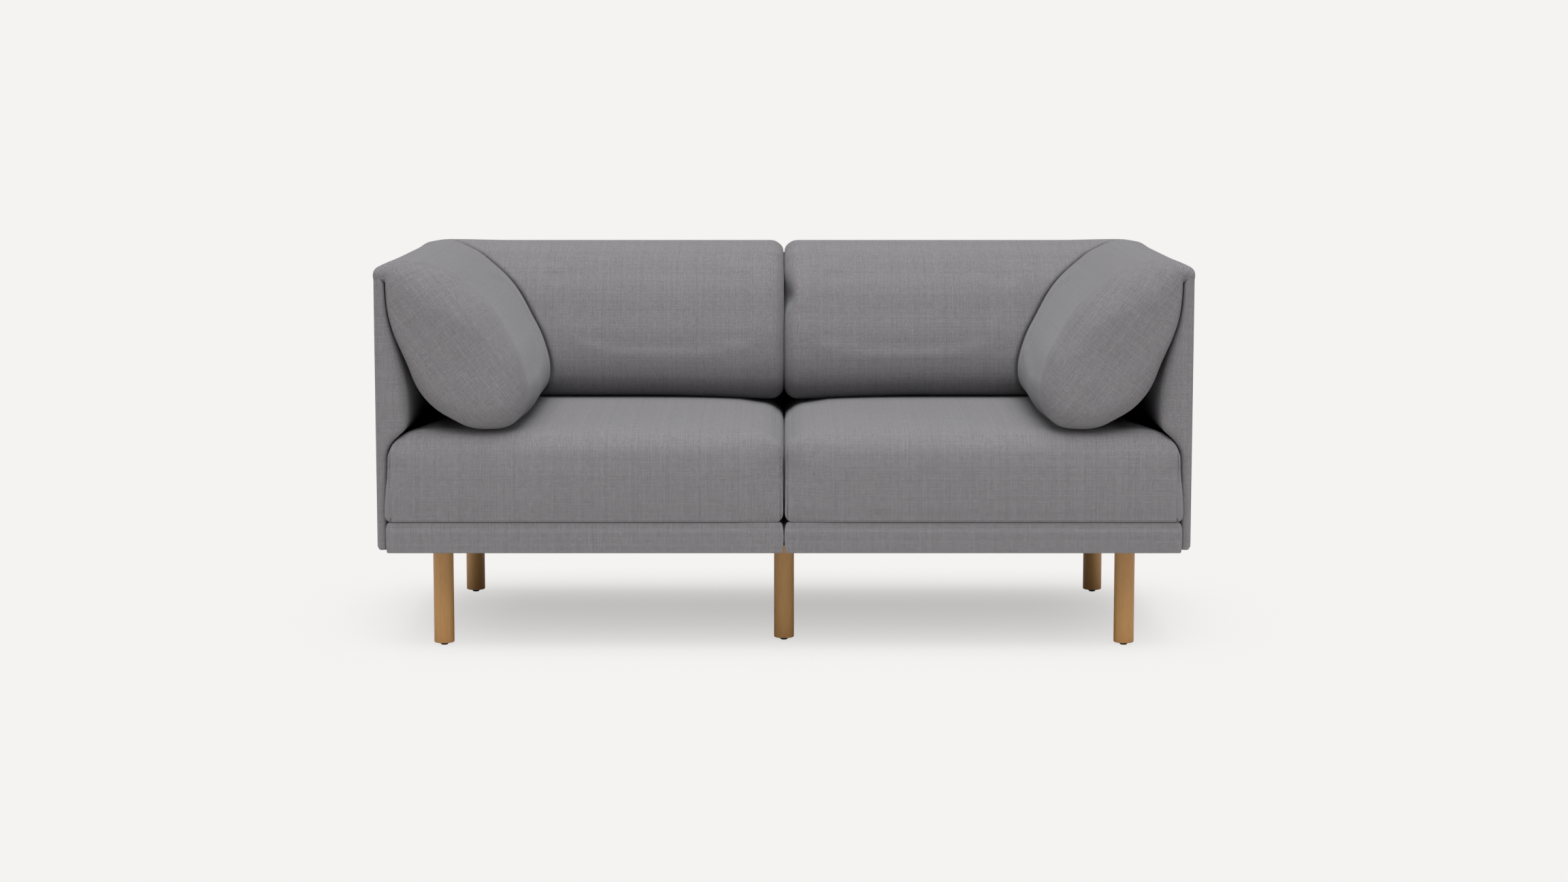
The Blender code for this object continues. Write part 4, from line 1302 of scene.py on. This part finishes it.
for kind, thinAxis in (("side", 0), ("back", 1)):
    low, high = [np.array(corner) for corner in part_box(f"left_{kind}_panel")]
    low[thinAxis] += panel["faceCrown"] * 0.5
    high[thinAxis] -= panel["faceCrown"] * 0.5
    hard, soft = panel["outerCorner"], panel["innerCorner"]
    if kind == "side":
        heights = np.concatenate([np.linspace(*rows) for rows in panel["paddingRows"]])
        points, quads, uv = uprightBoard(low, high, thinAxis, (hard, soft, hard, soft), heights)
    else:
        points, quads, uv = uprightBoard(low, high, thinAxis, (soft / 2, soft / 2, soft / 2, soft))
        byMiddle = smoothStep(points[:, 0], high[0] - 0.03, high[0])
        points[:, 0] += panel["middleBulge"] * byMiddle * bump(points[:, 1], (low[1] + high[1]) / 2, 0.007)
    for side in ("left", "right"):
        makeCover(side, f"{kind}_panel", onSide(side, points), quads, uv, "frame")
print("panels ready")


# Base covers

base = {
    "wall": 0.0058,
    "topRound": (0.0056, 0.0140),       # inwards and down
    "frontTight": 0.05,                 # so much less inwards along the front
    "recess": 0.0042,                   # how far the front is behind that of the seat cushion
    "bottomRound": (0.0024, 0.0028),
    "cornerRound": 0.0060,
    "bulge": 0.0016,
    "gapBulge": 0.0021,                 # the two bases touch between their ends
    "gapNarrows": (0.65, 8),            # less so towards the front and the rear: how much, and how suddenly
    "lip": 0.0036,                      # bulge in front of the side panel
    "lipFrom": (0.4205, 0.4300),
    "cornerSteps": 8,
    "nearCorner": (.002, .005, .009, .014),
    "step": 0.02,
}


def wallProfile(low, high):
    # (inset, height) of the outer side from the bottom up, then the inner side
    bottom, top = base["bottomRound"], base["topRound"]
    profile = []
    for centreZ, (inwards, upwards), turns in ((low[2] + bottom[1], bottom, np.linspace(-90, 0, 6)),
                                               (high[2] - top[1], top, np.linspace(0, 90, 9))):
        for turn in np.radians(turns):
            profile.append((inwards * (1 - math.cos(turn)), centreZ + upwards * math.sin(turn)))
    profile[6:6] = [(0.0, z) for z in np.linspace(low[2] + 0.006, high[2] - 0.014, 6)]
    inset, heights = np.array(profile).T
    swollen = np.clip((heights - low[2]) / (high[2] - low[2]), 0, 1)
    inset = inset - base["bulge"] * np.sin(math.pi * swollen) ** 0.8 + base["bulge"]
    inside = [(base["wall"], high[2]), (base["wall"], low[2])]
    return np.concatenate((np.stack((inset, heights), -1), inside))


def planOutline(low, high):
    # stations round the plan, each (x, y) and the direction outwards there
    radius, middle = base["cornerRound"], (low + high) / 2
    corners = []
    for x, y, turn in ((high[0], low[1], -90), (high[0], high[1], 0), (low[0], high[1], 90),
                       (low[0], low[1], 180)):
        centre = (x - math.copysign(radius, x - middle[0]), y - math.copysign(radius, y - middle[1]))
        turns = np.radians(np.linspace(turn, turn + 90, base["cornerSteps"]))
        out = np.stack((np.cos(turns), np.sin(turns)), -1)
        corners.append(np.concatenate((centre + radius * out, out), 1))
    ring = []
    for corner, following in zip(corners, corners[1:] + corners[:1]):
        start, way = corner[-1, :2], following[0, :2] - corner[-1, :2]
        length = np.linalg.norm(way)
        near = np.array(base["nearCorner"]) / length
        between = np.linspace(near[-1], 1 - near[-1], max(2, round(length / base["step"])))[1:-1]
        ring += [*corner, *[(*(start + way * share), *following[0, 2:])
                            for share in np.concatenate((near, between, 1 - near[::-1]))]]
    return np.array(ring)


def runRound(points):
    # how far it is along a closed line to each of its points, and all the way round
    steps = np.linalg.norm(np.diff(points, axis=0, append=points[:1]), axis=1)
    return np.concatenate(([0], np.cumsum(steps)))


def baseCover(low, high):
    # a band of cloth and wadding round the frame: a closed wall profile swept round four sides
    profile, ring = wallProfile(low, high), planOutline(low, high)
    rows, count = len(profile), len(ring)
    inset, heights = profile.T
    tight = 1 - base["frontTight"] * np.maximum(0, -ring[:, 3])[:, None] * (heights > high[2] - 0.02)
    flat = ring[:, None, :2] - ring[:, None, 2:] * (inset * tight)[..., None]
    points = np.concatenate((flat, np.tile(heights[:, None], (count, 1, 1))), -1).reshape(-1, 3)
    run, rise = runRound(ring[:, :2]), runRound(profile)
    i, j = np.divmod(np.arange(count * rows), rows)
    quads, uv = [], []
    for ahead, above in ((0, 0), (1, 0), (1, 1), (0, 1)):
        quads.append((i + ahead) % count * rows + (j + above) % rows)
        uv.append(np.stack((run[i + ahead], rise[j + above]), -1))
    return points, np.stack(quads, -1), np.stack(uv, 1)


low, high = [np.array(corner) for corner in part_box("left_base_cover")]
points, quads, uv = baseCover(low, high)
ahead = smoothStep(-points[:, 1], *base["lipFrom"])
byPanel = 1 - smoothStep(points[:, 0] - low[0], 0.0, 0.04)
points[:, 1] += base["recess"] * np.clip(1 - (points[:, 1] - low[1]) / base["wall"], 0, 1)
points[:, 0] -= base["lip"] * ahead * byPanel
narrowing, power = base["gapNarrows"]
towardsEnds = np.clip(1 - narrowing * np.abs(points[:, 1] / low[1]) ** power, 0, 1)
byGap = smoothStep(points[:, 0], high[0] - 0.004, high[0])
byGap = byGap * bump(points[:, 2], (low[2] + high[2]) / 2, 0.022)
points[:, 0] += base["gapBulge"] * byGap * towardsEnds
for side in ("left", "right"):
    makeCover(side, "base_cover", onSide(side, points), quads, uv, "frame", ending="_cloth")
print("base covers ready")


# Legs and glides

leg = {
    "round": 0.0022,
    "topRound": 0.0006,
    "roundSteps": 5,
    "around": 64,
    "glideSole": 0.62,          # flat part of a glide, as a share of its radius
    "glideSteps": 7,
    "glideAround": 40,
    "sharpFrom": 40.0,          # degrees
}


def turnedPiece(name, profile, centre, around, material):
    # a solid of revolution from (radius, height) points that run up from the axis and back to it
    turns = np.arange(around) / around * 2 * math.pi
    points = [(centre.x, centre.y, profile[0][1])]
    for radius, height in profile[1:-1]:
        points += [(centre.x + radius * math.cos(turn), centre.y + radius * math.sin(turn), height)
                   for turn in turns]
    points.append((centre.x, centre.y, profile[-1][1]))
    faces = [tuple(n + 1 for n in face) for face in ringFaces(len(profile) - 2, around)[0]]
    top = len(points) - 1
    for j in range(around):
        k = (j + 1) % around
        faces += [(0, 1 + k, 1 + j), (top - around + j, top - around + k, top)]
    piece = newObject(name, points, faces, material=material)
    piece.data.shade_smooth()
    piece.data.set_sharp_from_angle(angle=math.radians(leg["sharpFrom"]))
    return piece


def roundedFoot(inner, outer, bottom, rise, steps):
    turns = [math.pi / 2 * i / steps for i in range(steps + 1)]
    return [(0, bottom)] + [
        (inner + (outer - inner) * math.sin(turn), bottom + rise * (1 - math.cos(turn))) for turn in turns
    ]


def legProfile(low, high):
    radius, top = (high.x - low.x) / 2, leg["topRound"]
    foot = roundedFoot(radius - leg["round"], radius, low.z, leg["round"], leg["roundSteps"])
    middle = (low.z + high.z) / 2
    return foot + [(radius, middle), (radius, high.z - top), (radius - top, high.z), (0, high.z)]


def glideProfile(low, high, head):
    radius = (high.x - low.x) / 2
    foot = roundedFoot(leg["glideSole"] * radius, radius, low.z, head * 0.7, leg["glideSteps"])
    return foot + [(radius, low.z + head * 0.92), (radius * 0.93, low.z + head), (0, low.z + head)]


for place in [f"{end}_{side}" for end in ("front", "rear") for side in ("left", "centre", "right")]:
    low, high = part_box("leg_" + place)
    centre = (low + high) / 2
    piece = turnedPiece(f"leg_{place}_turned", legProfile(low, high), centre, leg["around"], oak)
    fit(piece, "frame", "leg_" + place)
    glideLow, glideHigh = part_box("glide_" + place)
    profile = glideProfile(glideLow, glideHigh, low.z - glideLow.z)
    piece = turnedPiece(f"glide_{place}_domed", profile, centre, leg["glideAround"], nylon)
    fit(piece, "frame", "glide_" + place)
print("legs and glides ready")


# Staples round the dust covers and screws in the leg plates

def facingDown(points):
    return np.array(points), np.tile((0.0, 0.0, -1.0), (len(points), 1))


lines = []
for side in ("left", "right"):
    low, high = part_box(side + "_dust_cover")
    x1, y1, x2, y2 = [edge + way * small["stapleInset"]
                      for edge, way in ((low.x, 1), (low.y, 1), (high.x, -1), (high.y, -1))]
    ring = np.array(((x1, y1), (x2, y1), (x2, y2), (x1, y2)))
    for start, end in zip(ring, np.roll(ring, -1, axis=0)):
        trim = small["stapleTrim"] / np.linalg.norm(end - start)
        lines.append(facingDown([(*(start + (end - start) * share), low.z) for share in (trim, 1 - trim)]))
staples = makeRow("dust_cover_staples", pathTree, lines, stapleItem, staple, small["stapleSpacing"],
                  small["stapleUnevenness"], small["stapleTurning"], 5)
places = []
for name in nodes:
    if name.startswith("leg_plate_"):
        low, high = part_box(name)
        middle, (x, y) = (low + high) / 2, small["screwPlaces"]
        places += [(middle.x + a * x, middle.y + b * y, low.z + 0.0002) for a in (-1, 1) for b in (-1, 1)]
screws = makeRow("leg_plate_screws", pointTree, [facingDown(places)], screwItem, zincSteel,
                 turning=small["screwTurning"], seed=11)
for piece in (staples, screws):
    fit(piece, "frame")
for item in (stitchItem, toothItem, stapleItem, screwItem):
    bpy.data.objects.remove(item, do_unlink=True)
print("staples and screws ready")


# Finishes of the parts kept from the frame

for name, node in nodes.items():
    if node.hide_render:
        continue
    if "rail" in name or "block" in name:
        finish = timberY if "inner_rail" in name or "outer_rail" in name else timberX
    elif "spring" in name or "bolt" in name:
        finish = zincSteel
    elif "plate" in name:
        finish = blackSteel
    elif "deck" in name:
        finish = feltWhite
    else:
        finish = spunbond
    node.data.materials.clear()
    node.data.materials.append(finish)
print("kept parts finished")
